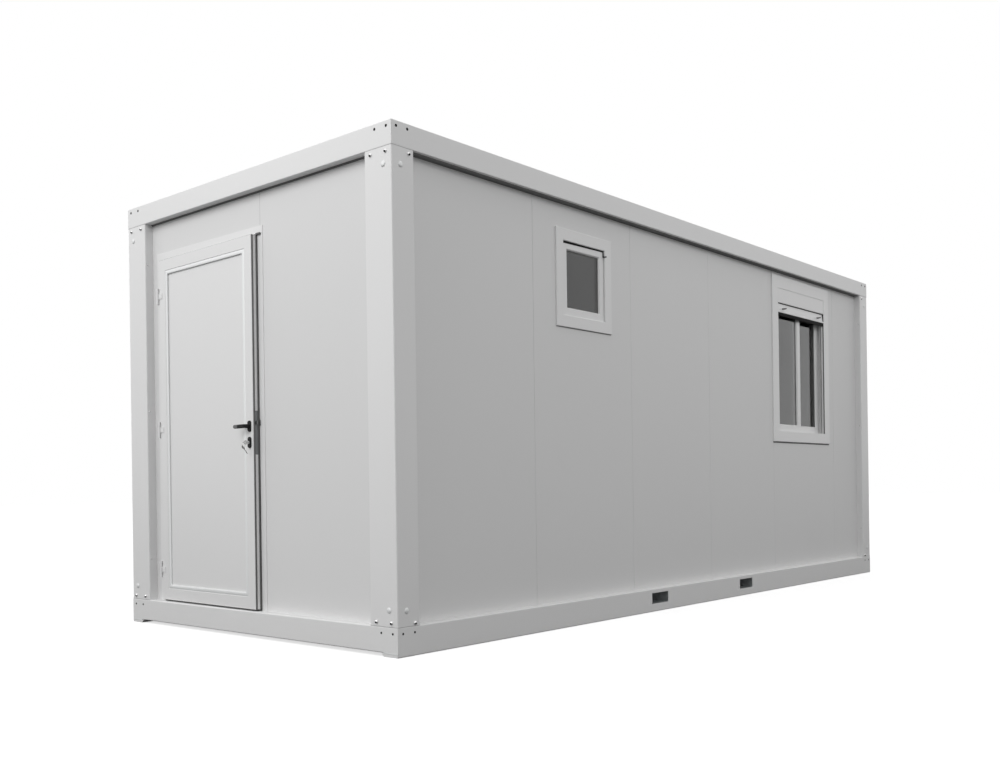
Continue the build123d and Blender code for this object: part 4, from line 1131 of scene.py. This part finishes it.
class CABIN_OT_stage(bpy.types.Operator):
    """Add the floor, the light and the camera."""

    bl_idname = "cabin.stage"
    bl_label = "Studio"

    def execute(self, context):
        studio = context.scene.cabin_studio
        self.add_floor(studio)
        self.add_world(context, studio)
        self.add_key(studio)
        self.add_softbox(
            "end_softbox", place=(-7.5, 0.0, 5.5), aim=(-3.0, 0.0, 2.2), size=(4.0, 3.0),
            power=studio.end_power)
        self.add_softbox(
            "side_softbox", place=(0.0, -6.5, 5.5), aim=(0.0, -1.2, 2.0), size=(8.0, 2.0),
            power=studio.side_power)
        self.add_camera(context, studio)
        context.scene.view_settings.view_transform = "Standard"
        return {"FINISHED"}

    def add_floor(self, studio):
        """A floor that the camera sees as white with the cabin's shadow, and the light as pale grey."""
        floor_radius = 60
        border = 45
        below = 0.5 * MM
        floor = start(
            bpy.ops.mesh.primitive_circle_add, "FACE",
            vertices=96, radius=floor_radius, fill_type="NGON", location=(0, 0, -below))
        floor.name = "studio_floor"
        bpy.ops.mesh.inset(thickness=border)
        close()
        material = bpy.data.materials.new("studio_floor")
        material.use_nodes = True
        tree = material.node_tree
        tree.nodes.clear()
        seen = add_node(tree, "LightPath").outputs["Is Camera Ray"]
        plain = add_node(tree, "BsdfDiffuse", {"Color": opaque((studio.floor_grey,) * 3)}).outputs[0]
        white = add_node(tree, "BsdfDiffuse", {"Color": opaque((0.5, 0.5, 0.5))}).outputs[0]
        glow = add_node(tree, "Emission", {"Color": WHITE, "Strength": 0.68}).outputs[0]
        bright = add_node(tree, "AddShader", {0: white, 1: glow}).outputs[0]
        choice = add_node(tree, "MixShader", {0: seen, 1: plain, 2: bright}).outputs[0]
        add_node(tree, "OutputMaterial", {"Surface": choice})
        floor.data.materials.append(material)

    def add_world(self, context, studio):
        """A surround that lights the cabin softly and looks white, also in a gloss or through glass."""
        world = bpy.data.worlds.new("studio_world")
        world.use_nodes = True
        tree = world.node_tree
        tree.nodes.clear()
        path = add_node(tree, "LightPath").outputs
        either = maths(tree, "MAXIMUM", path["Is Camera Ray"], path["Is Glossy Ray"])
        seen = maths(tree, "MAXIMUM", either, path["Is Transmission Ray"])
        strength = add_node(tree, "Mix", {"Factor": seen, "A": studio.fill_strength, "B": 1.0})
        background = add_node(tree, "Background", {
            "Color": WHITE, "Strength": strength.outputs["Result"]})
        add_node(tree, "OutputWorld", {"Surface": background.outputs[0]})
        context.scene.world = world

    def add_lamp(self, name, kind, strength, direction):
        """A lamp that shines along a direction."""
        lamp = bpy.data.lights.new(name, kind)
        lamp.energy = strength
        holder = bpy.data.objects.new(name, lamp)
        bpy.context.scene.collection.objects.link(holder)
        holder.rotation_euler = direction.to_track_quat("-Z", "Y").to_euler()
        return holder

    def add_key(self, studio):
        """A broad sun-like lamp from the door end."""
        key = self.add_lamp("key", "SUN", studio.key_strength, Vector((0.80, -0.42, -0.42)))
        key.data.angle = math.radians(60)

    def add_softbox(self, name, place, aim, size, power):
        """A softbox that lights the upper part of a side more than its foot."""
        softbox = self.add_lamp(name, "AREA", power, Vector(aim) - Vector(place))
        softbox.location = place
        softbox.visible_glossy = False
        softbox.data.shape = "RECTANGLE"
        softbox.data.size, softbox.data.size_y = size

    def add_camera(self, context, studio):
        """The photograph's viewpoint, with upright edges kept parallel."""
        place = Vector((-6.6211, -4.9126, 0.8416))
        heading = 0.729511
        roll = -0.0136995
        forward = Vector((math.cos(heading), math.sin(heading), 0))
        level = Vector((math.sin(heading), -math.cos(heading), 0))
        upright = Vector((0, 0, 1))
        right = math.cos(roll) * level + math.sin(roll) * upright
        up = math.cos(roll) * upright - math.sin(roll) * level
        data = bpy.data.cameras.new("camera")
        data.sensor_width = 36
        data.lens = studio.lens
        data.shift_x = 0.0307
        data.shift_y = 0.0945
        data.clip_end = 500
        camera = bpy.data.objects.new("camera", data)
        context.scene.collection.objects.link(camera)
        turn = Matrix((right, up, -forward)).transposed()
        camera.matrix_world = Matrix.Translation(place) @ turn.to_4x4()
        context.scene.camera = camera


PIECES = (
    CABIN_OT_finishes, CABIN_OT_post_bolts, CABIN_OT_post_caps, CABIN_OT_ring_plugs,
    CABIN_OT_return_screws, CABIN_OT_panel_seals, CABIN_OT_ring_joints, CABIN_OT_foot_welds,
    CABIN_OT_leaf_gaskets, CABIN_OT_leaf_moulding, CABIN_OT_door_head_seals,
    CABIN_OT_window_seals, CABIN_OT_sash_gasket, CABIN_OT_sash_catch, CABIN_OT_shutter_stops,
    CABIN_OT_spare_key, CABIN_OT_stage)
SETTINGS = {"cabin_sizes": CabinSizes, "cabin_finishes": CabinFinishes, "cabin_studio": CabinStudio}


class CABIN_PT_panel(bpy.types.Panel):
    """Lists the cabin's operators and settings."""

    bl_idname = "CABIN_PT_panel"
    bl_label = "Site cabin"
    bl_space_type = "VIEW_3D"
    bl_region_type = "UI"
    bl_category = "Cabin"

    def draw(self, context):
        for kind in PIECES:
            self.layout.operator(kind.bl_idname)
        for group in SETTINGS:
            settings = getattr(context.scene, group)
            for name in settings.__annotations__:
                self.layout.prop(settings, name)


CLASSES = (*SETTINGS.values(), *PIECES, CABIN_PT_panel)


def register():
    """Makes the settings, operators and panel known."""
    for kind in CLASSES:
        bpy.utils.register_class(kind)
    for name, kind in SETTINGS.items():
        setattr(bpy.types.Scene, name, bpy.props.PointerProperty(type=kind))


def unregister():
    """Takes them away again."""
    for name in SETTINGS:
        delattr(bpy.types.Scene, name)
    for kind in reversed(CLASSES):
        bpy.utils.unregister_class(kind)


def main():
    """Dresses the cabin piece by piece."""
    register()
    for kind in PIECES:
        group, name = kind.bl_idname.split(".")
        getattr(getattr(bpy.ops, group), name)()


if __name__ == "__main__":
    main()
